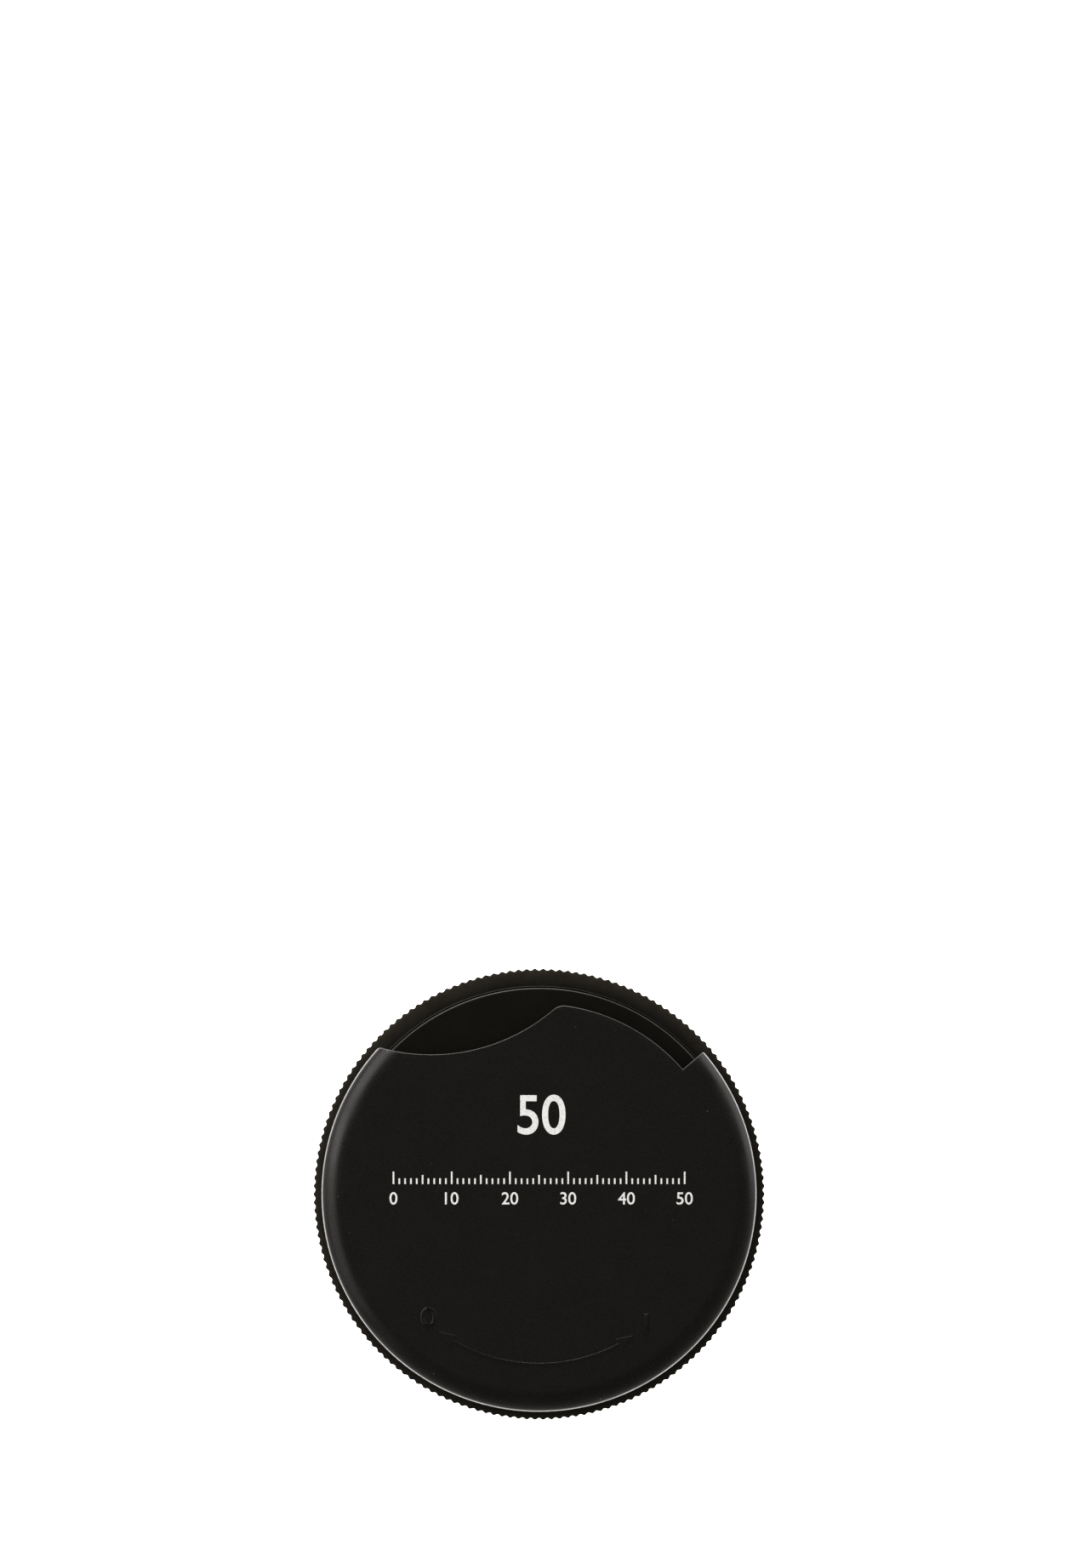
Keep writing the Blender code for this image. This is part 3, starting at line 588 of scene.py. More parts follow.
def strand_mesh(name, routes, radius):
    """Mesh of round strands, one along each route."""
    curve = bpy.data.curves.new(name, "CURVE")
    curve.dimensions = "3D"
    curve.bevel_depth = radius
    curve.bevel_resolution = 2
    curve.use_fill_caps = True
    for route in routes:
        spline = curve.splines.new("POLY")
        spline.points.add(len(route) - 1)
        for point, spot in zip(spline.points, route):
            point.co = (*spot, 1)
    holder = bpy.data.objects.new(name, curve)
    solid = bmesh.new()
    solid.from_mesh(bpy.data.meshes.new_from_object(holder))
    bpy.data.objects.remove(holder)
    return oriented(solid)


def add_solids(solid, others):
    """Put other solids in the same mesh."""
    for other in others:
        mesh = as_mesh("part", other)
        solid.from_mesh(mesh)
        bpy.data.meshes.remove(mesh)


core_radius = WINDING_RADIUS - 1.5 * FLOSS_RADIUS
winding_corners = [
    (WINDING_BORE, WINDING_LOW, FINE_EDGE),
    (core_radius, WINDING_LOW, FINE_EDGE),
    (core_radius, WINDING_HIGH, FINE_EDGE),
    (WINDING_BORE, WINDING_HIGH, FINE_EDGE),
]
wound = turned(winding_corners, facets=5, closed=True)
turn_count = (WINDING_HIGH - WINDING_LOW - 2 * FLOSS_RADIUS) / WINDING_STEP
layer = []
for step in range(int(turn_count * WINDING_POINTS) + 1):
    height = WINDING_LOW + FLOSS_RADIUS + WINDING_STEP * step / WINDING_POINTS
    layer.append(polar(WINDING_RADIUS - FLOSS_RADIUS, 360 * step / WINDING_POINTS, height))
add_solids(wound, [strand_mesh("floss_layer", [layer], FLOSS_RADIUS)])
winding = new_piece("wound_floss", wound, floss_finish, hard_angle=60.0)
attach(winding, "spool")
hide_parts("floss_winding")


# Deck: a black moulded drum pressed into the mouth of the case. Its top carries the hole that the
# floss comes out of, the pocket and slots of the cutter, the pin's hole and the stop's curved slot.
DECK_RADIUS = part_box("inner_deck")[1].x - 0.00003
DECK_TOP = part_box("inner_deck")[1].z
DECK_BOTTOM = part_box("inner_deck")[0].z
DECK_PLATE = 0.0013
DECK_RIM = 0.0013
DECK_ROUND = 0.00027
PIN_HOLE_RADIUS = 0.0022
OUTLET_ORBIT = 0.0220
OUTLET_ANGLE = 152.5
OUTLET_RADIUS = 0.0009
OUTLET_ROUND = 0.0003
STOP_ORBIT = 0.0130
STOP_HALF = 0.0013
STOP_START = 250.0
STOP_TURN = 60.0
BLADE_ORBIT = 0.0216
BLADE_ANGLE = 172.0
POCKET_SIZE = (0.0043, 0.0065)
POCKET_DEPTH = 0.0005
LEG_SLOT_SIZE = (0.0026, 0.0007)
LEG_SLOT_OFFSET = 0.00285
OVERRUN = 0.0010                        # how far a cut runs past the material
FLARE_TURNS = (0, 30, 60, 90, None)     # along a cut's rounded edge; None is the end of the cut
MITRE_LIMIT = 0.5                       # keeps an offset short at a sharp corner
END_STEPS = 12                          # facets round an end of the stop's slot
SIDE_STEPS = 24                         # and along its sides
OUTLET_STEPS = 36
DECK_COLOUR = (0.0064, 0.0052, 0.0028, 1)

deck_finish = black_plastic(
    "deck_plastic", DECK_COLOUR, gloss=0.30, dull=0.42, depth=0.000002, pits=9000.0, dust_share=0.15,
    scratch=0.08)


def prism(outline, bottom, top):
    """Solid between two heights over an outline of points."""
    solid = bmesh.new()
    base = solid.faces.new([solid.verts.new((x, y, bottom)) for x, y in outline])
    grown = bmesh.ops.extrude_face_region(solid, geom=[base], use_keep_orig=True)["geom"]
    lifted = [item for item in grown if isinstance(item, bmesh.types.BMVert)]
    bmesh.ops.translate(solid, verts=lifted, vec=(0, 0, top - bottom))
    return oriented(solid)


def box_outline(size):
    """Corners of a rectangle round the origin."""
    x, y = size[0] / 2, size[1] / 2
    return [(-x, -y), (x, -y), (x, y), (-x, y)]


def arc(centre, radius, start, end, steps):
    """Points along an arc, both ends included."""
    spots = [polar(radius, start + (end - start) * step / steps) for step in range(steps + 1)]
    return [(centre[0] + spot.x, centre[1] + spot.y) for spot in spots]


def temporary(solid):
    """Object that holds a solid while a Boolean reads it."""
    return add_object("temporary", as_mesh("temporary", solid))


def carved(solid, cutters, operation="DIFFERENCE"):
    """Solid with others cut out of it, or joined to it, by exact Booleans."""
    body = temporary(solid)
    helpers = [temporary(cutter) for cutter in cutters]
    for helper in helpers:
        boolean = body.modifiers.new("boolean", "BOOLEAN")
        boolean.operation = operation
        boolean.solver = "EXACT"
        boolean.object = helper
    result = bmesh.new()
    result.from_object(body, bpy.context.evaluated_depsgraph_get())
    for holder in [body, *helpers]:
        mesh = holder.data
        bpy.data.objects.remove(holder)
        bpy.data.meshes.remove(mesh)
    bmesh.ops.remove_doubles(result, verts=result.verts, dist=MERGE)
    return result


def soften(solid, width, facets, chosen, least_angle=40.0):
    """Round the hard edges that a test chooses."""
    edges = [edge for edge in solid.edges
             if edge.is_manifold and edge.calc_face_angle(0) > radians(least_angle) and chosen(edge)]
    round_off(solid, edges, width, facets, clamp_overlap=False, loop_slide=True)


def edge_at_height(edge, height, reach):
    """True if an edge lies at a height and inside a radius."""
    return all(abs(corner.co.z - height) < NEAR and corner.co.xy.length < reach for corner in edge.verts)


def outward_normals(outline):
    """Outward normal at each point of an outline, long enough at a corner to keep an even offset."""
    normals = []
    for index, point in enumerate(outline):
        before = (Vector(point) - Vector(outline[index - 1])).normalized()
        after = (Vector(outline[(index + 1) % len(outline)]) - Vector(point)).normalized()
        across = Vector((before.y + after.y, -before.x - after.x))
        normals.append(across / max(1 + before.dot(after), MITRE_LIMIT))
    return normals


def flared(outline, bottom, skin, rounding, top):
    """Solid over an outline that flares where it passes a skin, so that it cuts a rounded edge there.

    The skin is a height for each radius, and the rounding has a value for each point of the outline.
    """
    solid = bmesh.new()
    spot = solid.verts.layers.int.new("spot")
    ring = [solid.verts.new((x, y, bottom)) for x, y in outline]
    for index, corner in enumerate(ring):
        corner[spot] = index
    normals = outward_normals(outline)
    lid = solid.faces.new(ring)
    for turn in FLARE_TURNS:
        grown = bmesh.ops.extrude_face_region(solid, geom=[lid], use_keep_orig=True)["geom"]
        if turn != 0:
            bmesh.ops.delete(solid, geom=[lid], context="FACES_ONLY")
        lid = next(item for item in grown if isinstance(item, bmesh.types.BMFace))
        outward, sunk = (1, 0) if turn is None else (1 - cos(radians(turn)), 1 - sin(radians(turn)))
        for corner in lid.verts:
            index = corner[spot]
            place = Vector(outline[index]) + normals[index] * rounding[index] * outward
            height = top if turn is None else skin(place.length) - rounding[index] * sunk
            corner.co = (place.x, place.y, height + (NEAR if turn == 90 else 0))
    return oriented(solid)


def moved(solid, matrix):
    """Solid put in its place."""
    bmesh.ops.transform(solid, matrix=matrix, verts=solid.verts)
    return solid


deck_under = DECK_TOP - DECK_PLATE
deck_corners = [
    (PIN_HOLE_RADIUS, DECK_TOP, FINE_EDGE),
    (DECK_RADIUS, DECK_TOP, DECK_ROUND),
    (DECK_RADIUS, DECK_BOTTOM, FINE_EDGE),
    (DECK_RADIUS - DECK_RIM, DECK_BOTTOM, FINE_EDGE),
    (DECK_RADIUS - DECK_RIM, deck_under, SOFT_EDGE),
    (PIN_HOLE_RADIUS, deck_under, FINE_EDGE),
]
stop_end = STOP_START + STOP_TURN
slot_outline = []
slot_sides = ((STOP_HALF, STOP_START, stop_end, 0), (-STOP_HALF, stop_end, STOP_START, 180))
for half, start, end, lead in slot_sides:
    slot_outline += arc((0, 0), STOP_ORBIT + half, start, end, SIDE_STEPS)
    slot_outline += arc(polar(STOP_ORBIT, end), STOP_HALF, end + lead, end + lead + 180, END_STEPS)[1:-1]
through = (deck_under - OVERRUN, DECK_TOP + OVERRUN)
# The cutter's own directions: x outward, y round the deck.
blade_turn = Matrix.Rotation(radians(BLADE_ANGLE), 4, "Z")
blade_frame = Matrix.Translation(blade_turn @ Vector((BLADE_ORBIT, 0, 0))) @ blade_turn


def deck_opening(outline, bottom, rounding):
    """Cutter for an opening in the deck, whose upper edge is rounded."""
    return flared(outline, bottom, lambda radius: DECK_TOP, [rounding] * len(outline), through[1])


outlet_outline = arc((0, 0), OUTLET_RADIUS, 0, 360 - 360 / OUTLET_STEPS, OUTLET_STEPS - 1)
outlet_place = Matrix.Translation(polar(OUTLET_ORBIT, OUTLET_ANGLE))
deck_cutters = [
    deck_opening(slot_outline, through[0], FINE_EDGE),
    moved(deck_opening(outlet_outline, through[0], OUTLET_ROUND), outlet_place),
    moved(deck_opening(box_outline(POCKET_SIZE), DECK_TOP - POCKET_DEPTH, FINE_EDGE), blade_frame),
]
for side in (-1, 1):
    leg_slot = prism(box_outline(LEG_SLOT_SIZE), *through)
    deck_cutters.append(moved(leg_slot, blade_frame @ Matrix.Translation((0, side * LEG_SLOT_OFFSET, 0))))
deck_solid = carved(turned(deck_corners, facets=10, closed=True), deck_cutters)
deck = new_piece("deck", deck_solid, deck_finish)
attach(deck, "case")
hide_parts("inner_deck")


# Cutter: a blank stamped from stainless strip with a tongue lanced out of its middle. The two ends
# are folded down into legs that grip the deck, and the tongue is raised so that floss slides under it.
SHEET = 0.0003
BLADE_TOP = 0.0141
BLADE_SIZE = (0.0038, 0.0060)           # outward, and round the deck over the legs
LEG_WIDTH = 0.0022
LEG_REACH = 0.0017                      # below the top of the plate
BEND_RADIUS = 0.00025                   # inside the folds
TONGUE_WIDTH = 0.0020
TONGUE_ROOT = 0.0010                    # x where the tongue leaves the plate
TONGUE_TIP = -0.0011
TONGUE_SLOPE = 0.0006
TONGUE_RISE = 0.00115                   # top of the tongue above the plate
WINDOW_GAP = 0.0003
BARB_CUT = 0.00055                      # notch in the tongue's tip that severs the floss
FOLD_STEPS = 6
STEEL_COLOUR = (0.56, 0.56, 0.57, 1)
STEEL_BRIGHT = (0.70, 0.70, 0.71, 1)
STEEL_ROUGHNESS = (0.22, 0.40)
BRUSH_STRETCH = (0.02, 1.0, 0.02)

steel_finish, tree, shader = new_material("cutter_steel", metallic=1.0)
rolled = drawn_out(tree, object_place(tree), -BLADE_ANGLE, BRUSH_STRETCH)
brushing = noise(tree, rolled, 400.0, detail=3.0)
tone = mixed_colour(tree, brushing, STEEL_COLOUR, STEEL_BRIGHT)
gloss = stretch(tree, brushing, *GLOSS_RANGE, *STEEL_ROUGHNESS)
dress(tree, shader, tone, brushing, depth=0.000003, roughness=gloss)


def crease(solid, place, normal):
    """Part a solid's faces along a plane, so that they can be bent there."""
    everything = solid.verts[:] + solid.edges[:] + solid.faces[:]
    bmesh.ops.bisect_plane(solid, geom=everything, dist=MERGE, plane_co=place, plane_no=normal)


fold_line = BLADE_SIZE[1] / 2 - SHEET - BEND_RADIUS
bend_middle = BEND_RADIUS + SHEET / 2
fold_length = bend_middle * pi / 2
blank_half = fold_line + fold_length + LEG_REACH - SHEET - BEND_RADIUS
half_width = LEG_WIDTH / 2
half_depth = BLADE_SIZE[0] / 2
upper_half = [
    (half_depth, fold_line), (half_width, fold_line), (half_width, blank_half),
    (-half_width, blank_half), (-half_width, fold_line), (-half_depth, fold_line),
]
blank_outline = [(-x, -y) for x, y in upper_half] + upper_half
slot_out, slot_in = TONGUE_WIDTH / 2 + WINDOW_GAP, TONGUE_WIDTH / 2
window_end = TONGUE_TIP - WINDOW_GAP
window_outline = [
    (TONGUE_ROOT, slot_in), (TONGUE_ROOT, slot_out), (window_end, slot_out), (window_end, -slot_out),
    (TONGUE_ROOT, -slot_out), (TONGUE_ROOT, -slot_in), (TONGUE_TIP, -slot_in / 2),
    (TONGUE_TIP + BARB_CUT, 0), (TONGUE_TIP, slot_in / 2),
]
blank = carved(prism(blank_outline, -SHEET, 0), [prism(window_outline, -SHEET - OVERRUN, OVERRUN)])
for step in range(FOLD_STEPS + 1):
    across = fold_line + fold_length * step / FOLD_STEPS
    for side in (-1, 1):
        crease(blank, (0, side * across, 0), (0, 1, 0))
    crease(blank, (TONGUE_ROOT - TONGUE_SLOPE * step / FOLD_STEPS, 0, 0), (1, 0, 0))
for corner in blank.verts:
    x, y, z = corner.co
    if abs(y) < slot_in + WINDOW_GAP / 2 and window_end < x < TONGUE_ROOT:
        share = min((TONGUE_ROOT - x) / TONGUE_SLOPE, 1)
        corner.co.z = z + TONGUE_RISE * share * share * (3 - 2 * share)
    elif abs(y) > fold_line:
        side = 1 if y > 0 else -1
        past = abs(y) - fold_line
        lean = min(past / bend_middle, pi / 2)
        reach = BEND_RADIUS + SHEET + z
        straight = max(past - fold_length, 0)
        corner.co.y = side * (fold_line + reach * sin(lean))
        corner.co.z = -SHEET - BEND_RADIUS + reach * cos(lean) - straight
soften(blank, SHEET / 10, 2, lambda edge: True, least_angle=60.0)
cutter_place = Matrix.Translation((0, 0, BLADE_TOP)) @ blade_frame
cutter = new_piece("steel_cutter", moved(blank, cutter_place), steel_finish)
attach(cutter, "case")
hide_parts("floss_cutter")


# Free end of the floss: it leaves the winding, climbs through the outlet and lies under the
# cutter's tongue, with a short tail to take hold of. It is a loose twist of four waxed yarns.
FLOSS_ROUTE = (
    # radius, angle, height
    (0.01880, 98.5, 0.00735), (0.01906, 114.7, 0.00768), (0.01989, 129.8, 0.00890),
    (0.02117, 141.7, 0.01079), (0.02200, 151.3, 0.01290), (0.02200, 152.5, 0.013745),
    (0.02200, 154.1, 0.014425), (0.02200, 156.25, 0.014525), (0.02125, 165.4, 0.014525),
    (0.02125, 172.0, 0.014525), (0.02125, 185.3, 0.014525),
)
YARN_COUNT = 4
YARN_RADIUS = 0.000095
YARN_ORBIT = 0.0001
TWIST_LENGTH = 0.0030
ROUTE_SAMPLES = 16


def smooth_route(points, samples):
    """Points on a smooth curve through the given ones."""
    route = []
    for index in range(len(points) - 1):
        before = points[max(index - 1, 0)]
        start, end = points[index], points[index + 1]
        after = points[min(index + 2, len(points) - 1)]
        for sample in range(samples):
            share = sample / samples
            pull = (end - before) * share
            bend = (2 * before - 5 * start + 4 * end - after) * share ** 2
            curl = (3 * start - before - 3 * end + after) * share ** 3
            route.append(start + (pull + bend + curl) / 2)
    return route + [points[-1]]


floss_line = smooth_route([polar(*spot) for spot in FLOSS_ROUTE], ROUTE_SAMPLES)
yarns = [[] for yarn in range(YARN_COUNT)]
walked = 0.0
for index, spot in enumerate(floss_line):
    ahead = floss_line[min(index + 1, len(floss_line) - 1)] - floss_line[max(index - 1, 0)]
    across = ahead.cross(Vector((0, 0, 1))).normalized()
    above = across.cross(ahead).normalized()
    for yarn, line in enumerate(yarns):
        turn = tau * (walked / TWIST_LENGTH + yarn / YARN_COUNT)
        line.append(spot + (across * cos(turn) + above * sin(turn)) * YARN_ORBIT)
    if index + 1 < len(floss_line):
        walked += (floss_line[index + 1] - spot).length
twist = strand_mesh("free_floss", yarns, YARN_RADIUS)
thread = new_piece("free_floss", twist, floss_finish, hard_angle=60.0)
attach(thread, "case")
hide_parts("floss_thread")


# Cover: a black moulded cap with a rounded shoulder that turns on the deck. A thumb notch runs in
# from its edge, and a split snap pin, a bearing boss and a stop peg stand under its face.
COVER_RADIUS = 0.02602
COVER_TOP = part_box("turning_cover")[1].z
MARK_HEIGHT = 0.00008                   # the raised marks reach the full height of the cover
FACE = COVER_TOP - MARK_HEIGHT
COVER_BOTTOM = 0.0127
COVER_WALL = 0.0010
COVER_UNDERSIDE = 0.0156
SHOULDER_REACH = 0.0034                 # radius of the shoulder's long curve
SHOULDER_SLOPE = 43.0                   # slope at the end of that curve
BROW_SLOPE = 77.0                       # slope of the narrow brow between shoulder and wall
BROW_WIDTH = 0.00015
BROW_EDGE = 0.00008
INNER_SHOULDER = 0.00145
BOSS_RADIUS = 0.0050
BOSS_BOTTOM = 0.0145
PIN_RADIUS = 0.0019
BARB_TOP = 0.0126
BARB_RADIUS = 0.0026
PIN_TIP_RADIUS = 0.0011
PIN_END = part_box("turning_cover")[0].z
SLIT_WIDTH = 0.0008
PEG_RADIUS = 0.0010
SCOOP_RADIUS = 0.02255
SCOOP_DEPTH = 0.00724
SCOOP_ANGLE = 108.2
SLOT_DEPTH = 0.00325
SLOT_END = 41.0
PEAK_ROUND = 0.0020
HORN_ROUND = 0.0007                     # corner where the scoop meets the cover's edge
HORN_LEAD = 8                           # how far past that corner its arc starts
CUT_LEAD = 1                            # and the part of the cut that lies outside the cover
EDGE_ROUND = 0.00018                    # round edge along the notch
COVER_COLOUR = (0.0141, 0.0123, 0.0112, 1)

cover_finish = black_plastic(
    "cover_plastic", COVER_COLOUR, gloss=0.24, dull=0.34, depth=0.000002, pits=8000.0, dust_share=0.25,
    scratch=0.06)


def corner_angle(side_a, side_b, opposite):
    """Angle between two sides of a triangle, from its three sides."""
    return degrees(acos((side_a ** 2 + side_b ** 2 - opposite ** 2) / (2 * side_a * side_b)))


outside = COVER_RADIUS + OVERRUN
scoop_orbit = COVER_RADIUS - SCOOP_DEPTH + SCOOP_RADIUS
scoop_middle = polar(scoop_orbit, SCOOP_ANGLE)
scoop_back = SCOOP_ANGLE + 180
slot_radius = COVER_RADIUS - SLOT_DEPTH
peak_orbit = slot_radius - PEAK_ROUND
peak_reach = SCOOP_RADIUS + PEAK_ROUND
peak_angle = SCOOP_ANGLE - corner_angle(peak_orbit, scoop_orbit, peak_reach)
peak_turn = scoop_back + corner_angle(peak_reach, scoop_orbit, peak_orbit)
horn_orbit = COVER_RADIUS - HORN_ROUND
horn_reach = SCOOP_RADIUS + HORN_ROUND
horn_angle = SCOOP_ANGLE + corner_angle(horn_orbit, scoop_orbit, horn_reach)
horn_turn = scoop_back - corner_angle(horn_reach, scoop_orbit, horn_orbit)
horn_middle = polar(horn_orbit, horn_angle)
notch_outline = arc((0, 0), outside, SLOT_END, horn_angle + CUT_LEAD, steps=24)
notch_outline += arc(horn_middle, HORN_ROUND, horn_angle + HORN_LEAD, horn_turn - 180, steps=7)
notch_outline += arc(scoop_middle, SCOOP_RADIUS, horn_turn, peak_turn, steps=30)[1:]
notch_outline += arc(polar(peak_orbit, peak_angle), PEAK_ROUND, peak_turn - 180, peak_angle, steps=8)[1:]
notch_outline += arc((0, 0), slot_radius, peak_angle, SLOT_END, steps=16)[1:]
# Two more points take off the corner between the slot's end and the cover's wall.
notch_outline.append(polar(COVER_RADIUS - EDGE_ROUND, SLOT_END).xy)
notch_outline.append(polar(COVER_RADIUS, SLOT_END - degrees(EDGE_ROUND / COVER_RADIUS)).xy)

shoulder_half = SHOULDER_REACH * tan(radians(SHOULDER_SLOPE / 2))
slope_length = shoulder_half + 2 * BROW_EDGE
brow_radius = COVER_RADIUS - BROW_WIDTH
brow_top = FACE - slope_length * sin(radians(SHOULDER_SLOPE))
shoulder_radius = brow_radius - slope_length * cos(radians(SHOULDER_SLOPE))
cover_corners = [
    (shoulder_radius - 2 * shoulder_half, FACE, 0),
    (shoulder_radius, FACE, shoulder_half),
    (brow_radius, brow_top, BROW_EDGE),
    (COVER_RADIUS, brow_top - BROW_WIDTH * tan(radians(BROW_SLOPE)), BROW_EDGE),
    (COVER_RADIUS, COVER_BOTTOM, FINE_EDGE),
    (COVER_RADIUS - COVER_WALL, COVER_BOTTOM, FINE_EDGE),
    (COVER_RADIUS - COVER_WALL, COVER_UNDERSIDE, INNER_SHOULDER),
    (BOSS_RADIUS, COVER_UNDERSIDE, FINE_EDGE),
    (BOSS_RADIUS, BOSS_BOTTOM, FINE_EDGE),
    (PIN_RADIUS, BOSS_BOTTOM, FINE_EDGE),
    (PIN_RADIUS, BARB_TOP, 0),
    (BARB_RADIUS, BARB_TOP, FINE_EDGE / 2),
    (PIN_TIP_RADIUS, PIN_END, FINE_EDGE),
    (PIN_TIP_RADIUS / 2, PIN_END, 0),
]
peg_corners = [
    (PEG_RADIUS / 2, COVER_UNDERSIDE + OVERRUN / 2, 0),
    (PEG_RADIUS, COVER_UNDERSIDE + OVERRUN / 2, 0),
    (PEG_RADIUS, deck_under, FINE_EDGE),
    (PEG_RADIUS / 2, deck_under, 0),
]
peg = moved(turned(peg_corners, facets=3, sectors=12), Matrix.Translation(polar(STOP_ORBIT, STOP_START)))
slit_outline = box_outline((2 * BARB_RADIUS + OVERRUN, SLIT_WIDTH))
slit = prism(slit_outline, PIN_END - OVERRUN, BOSS_BOTTOM - SOFT_EDGE)


def skin_height(radius):
    """Height of the cover's outer skin at a radius."""
    along = radius - shoulder_radius + shoulder_half
    curve_end = SHOULDER_REACH * sin(radians(SHOULDER_SLOPE))
    if radius > brow_radius:
        return brow_top - (min(radius, COVER_RADIUS) - brow_radius) * tan(radians(BROW_SLOPE))
    if along > curve_end:
        return brow_top + (brow_radius - radius) * tan(radians(SHOULDER_SLOPE))
    return FACE - SHOULDER_REACH + (SHOULDER_REACH ** 2 - max(along, 0) ** 2) ** 0.5


# The rounding along the notch runs out where the notch meets the cover's outer wall.
rounding = [min(max(COVER_RADIUS - Vector(point).length, 0), EDGE_ROUND) for point in notch_outline]
notch = flared(notch_outline, COVER_BOTTOM - OVERRUN, skin_height, rounding, COVER_TOP + OVERRUN)
cover_solid = carved(turned(cover_corners, facets=12), [notch, slit])
cover_solid = carved(cover_solid, [peg], "UNION")
cover = new_piece("cover", cover_solid, cover_finish, hard_angle=40.0)
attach(cover, "cover")
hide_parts("turning_cover")


# Marks: numbers for the cover's two positions, 0 closed and 1 open, with a curved double arrow
# between them, moulded proud of the face. A faint ring shows where the mould's gate was cut off.
NUMERAL_HEIGHT = 0.00245
NUMERAL_WIDENING = 1.25
NUMERAL_WEIGHT = 0.012                  # outward offset of the strokes, for numerals one unit high
CLOSED_PLACE = (-0.01322, -0.01468)
OPEN_PLACE = (0.01280, -0.01550)
MARK_SLOPE = 0.00007
ARROW_ORBIT = 0.02030
ARROW_LINE = 0.00028                    # width of the arrow's line
ARROW_SPAN = (239.7, 297.9)             # between the feet of the arrow's heads
HEAD_TURN = 6.0
HEAD_HALF = 0.00075
GATE_PLACE = (-0.01154, 0.00032)
GATE_RADIUS = 0.00075
GATE_WIDTH = 0.00012
GATE_RISE = 0.000015
ARROW_STEPS = 40


def numerals(text, height, widening, place, low, thickness):
    """Solid numerals that stand on a height, with their middle at a place."""
    curve = bpy.data.curves.new(text, "FONT")
    curve.body = text
    curve.extrude = 0.5                 # to each side, which makes them one unit thick
    curve.offset = NUMERAL_WEIGHT
    holder = bpy.data.objects.new(text, curve)
    solid = bmesh.new()
    solid.from_mesh(bpy.data.meshes.new_from_object(holder))
    bpy.data.objects.remove(holder)
    bmesh.ops.remove_doubles(solid, verts=solid.verts, dist=MERGE)
    sides = [[corner.co[axis] for corner in solid.verts] for axis in (0, 1)]
    middle = [(min(side) + max(side)) / 2 for side in sides]
    size = height / (max(sides[1]) - min(sides[1]))
    bmesh.ops.translate(solid, verts=solid.verts, vec=(-middle[0], -middle[1], 0.5))
    bmesh.ops.scale(solid, verts=solid.verts, vec=(size * widening, size, thickness))
    bmesh.ops.translate(solid, verts=solid.verts, vec=(*place, low))
    return oriented(solid)


def add_mark(name, solid):
    """Put a raised mark on the cover, with its sides sloped."""
    top = max(corner.co.z for corner in solid.verts)
    soften(solid, MARK_SLOPE, 1, lambda edge: edge_at_height(edge, top, COVER_RADIUS), least_angle=60.0)
    mark = new_piece(name, solid, cover_finish, hard_angle=50.0)
    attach(mark, "cover")


sunk_face = FACE - MARK_HEIGHT
for name, number, spot in (("closed_mark", "0", CLOSED_PLACE), ("open_mark", "1", OPEN_PLACE)):
    add_mark(name, numerals(number, NUMERAL_HEIGHT, NUMERAL_WIDENING, spot, sunk_face, 2 * MARK_HEIGHT))
arrow_outline = []
for side, start, end in ((-1, *ARROW_SPAN), (1, *reversed(ARROW_SPAN))):
    arrow_outline += arc((0, 0), ARROW_ORBIT + side * ARROW_LINE / 2, start, end, ARROW_STEPS)
    for offset, lead in ((side * HEAD_HALF, 0), (0, -side * HEAD_TURN), (-side * HEAD_HALF, 0)):
        arrow_outline.append(polar(ARROW_ORBIT + offset, end + lead).xy)
add_mark("turn_arrow", prism(arrow_outline, sunk_face, COVER_TOP))
gate_corners = [
    (GATE_RADIUS - GATE_WIDTH, FACE - GATE_RISE, 0),
    (GATE_RADIUS - GATE_WIDTH / 2, FACE + GATE_RISE, GATE_RISE),
    (GATE_RADIUS, FACE - GATE_RISE, 0),
]
gate_solid = turned(gate_corners, facets=3, sectors=16, closed=True)
moved(gate_solid, Matrix.Translation((*GATE_PLACE, 0)))
gate = new_piece("gate_mark", gate_solid, cover_finish)
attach(gate, "cover")


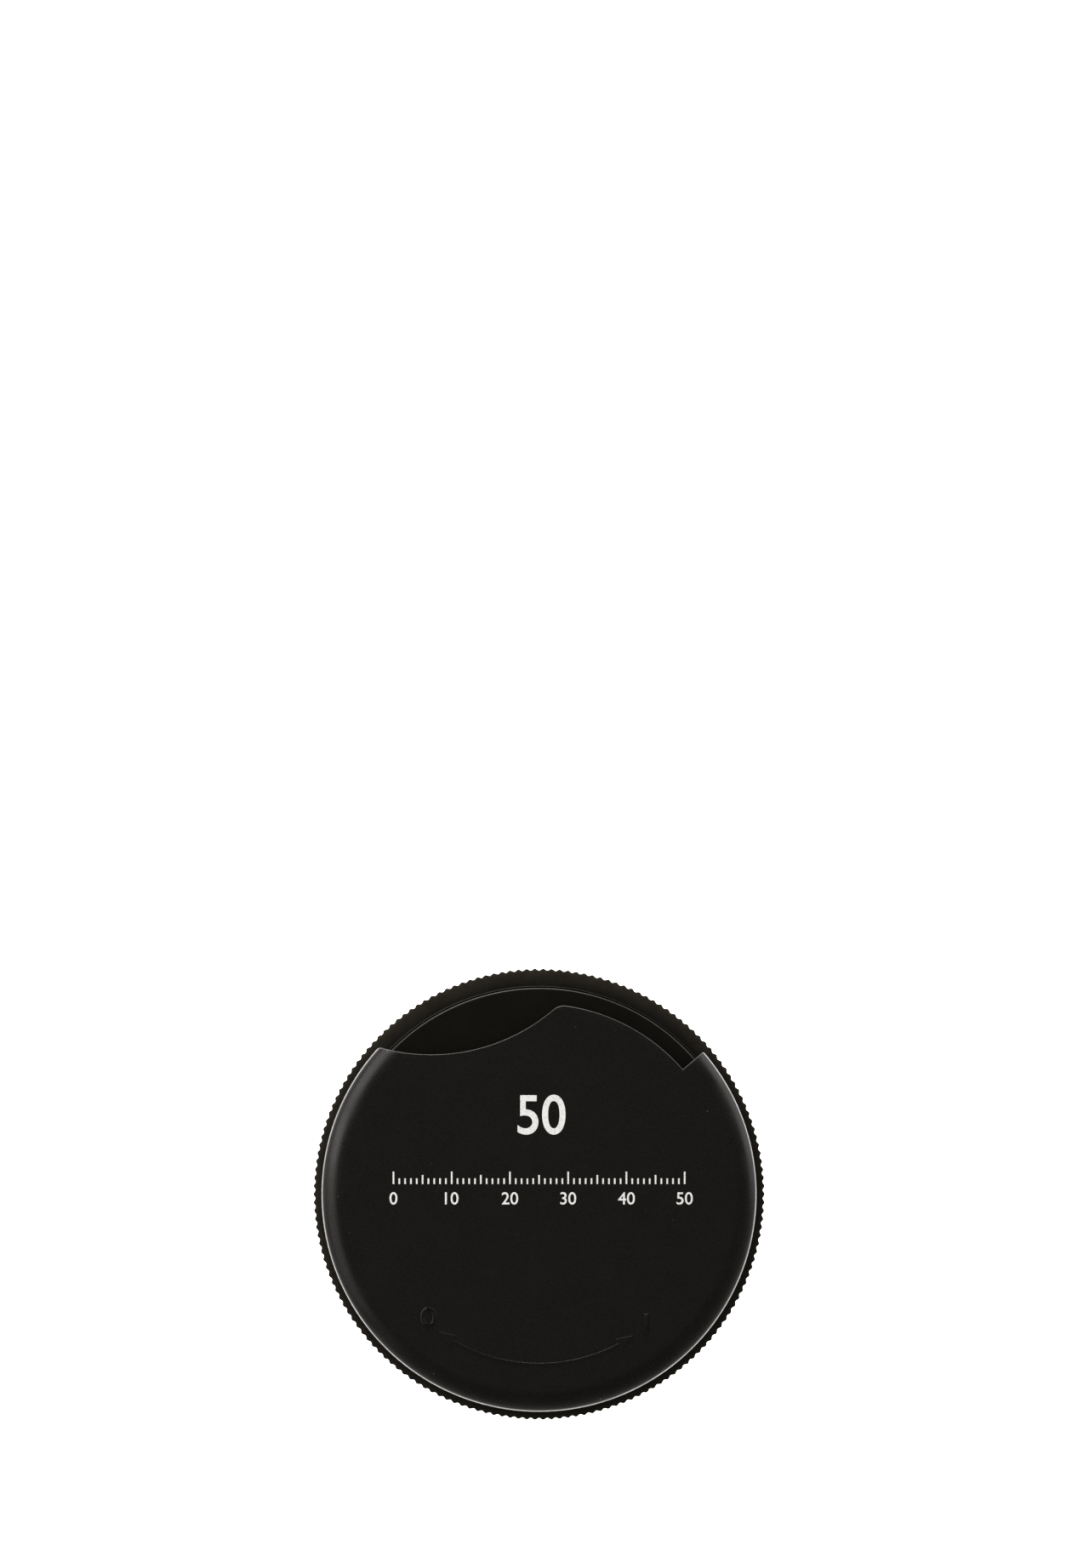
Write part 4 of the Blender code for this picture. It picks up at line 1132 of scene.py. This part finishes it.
# Print: one pad printing in white ink, a plain figure 50 for the metres of floss and under it
# a ruled scale of the same length in tens. The ink film stands just proud of the plastic.
INK_THICKNESS = 0.00001
INK_COLOUR = (0.90, 0.90, 0.90, 1)
INK_THIN = (0.68, 0.68, 0.67, 1)
FIGURE_HEIGHT = 0.0048
FIGURE_WIDENING = 0.92
FIGURE_PLACE = (0.0003, 0.0095)
SCALE_ORIGIN = (-0.0174, 0.0012)        # left end of the scale, at the foot of its ticks
SCALE_LENGTH = 0.0348
SCALE_TENS = 5
SCALE_PARTS = 10                        # ticks to a ten
TICK_WIDTH = 0.00022
TICK_HEIGHTS = (0.00150, 0.00110, 0.00070)      # at tens, at fives and between
SCALE_NUMBER_HEIGHT = 0.0015
SCALE_NUMBER_DROP = 0.0017              # from the foot of the ticks to the middle of the numbers
INK_RANGE = (0.30, 0.48)
INK_ROUGHNESS = (0.42, 0.60)

ink_finish, tree, shader = new_material("white_ink", roughness=0.5)
density = noise(tree, object_place(tree), 6000.0, detail=3.0)
tone = mixed_colour(tree, stretch(tree, density, *INK_RANGE), INK_THIN, INK_COLOUR)
gloss = stretch(tree, density, *GLOSS_RANGE, *INK_ROUGHNESS)
dress(tree, shader, tone, density, depth=0.000002, roughness=gloss)

printed = numerals("50", FIGURE_HEIGHT, FIGURE_WIDENING, FIGURE_PLACE, FACE, INK_THICKNESS)
ink_parts = []
for index in range(SCALE_TENS * SCALE_PARTS + 1):
    rank = 0 if index % SCALE_PARTS == 0 else 1 if index % (SCALE_PARTS // 2) == 0 else 2
    foot = SCALE_ORIGIN[0] + SCALE_LENGTH * index / (SCALE_TENS * SCALE_PARTS)
    tick = prism(box_outline((TICK_WIDTH, TICK_HEIGHTS[rank])), FACE, FACE + INK_THICKNESS)
    ink_parts.append(moved(tick, Matrix.Translation((foot, SCALE_ORIGIN[1] + TICK_HEIGHTS[rank] / 2, 0))))
    if rank == 0:
        label_place = (foot, SCALE_ORIGIN[1] - SCALE_NUMBER_DROP)
        number = str(10 * index // SCALE_PARTS)
        ink_parts.append(numerals(number, SCALE_NUMBER_HEIGHT, 1.0, label_place, FACE, INK_THICKNESS))
add_solids(printed, ink_parts)
ink = new_piece("white_print", printed, ink_finish)
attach(ink, "cover")
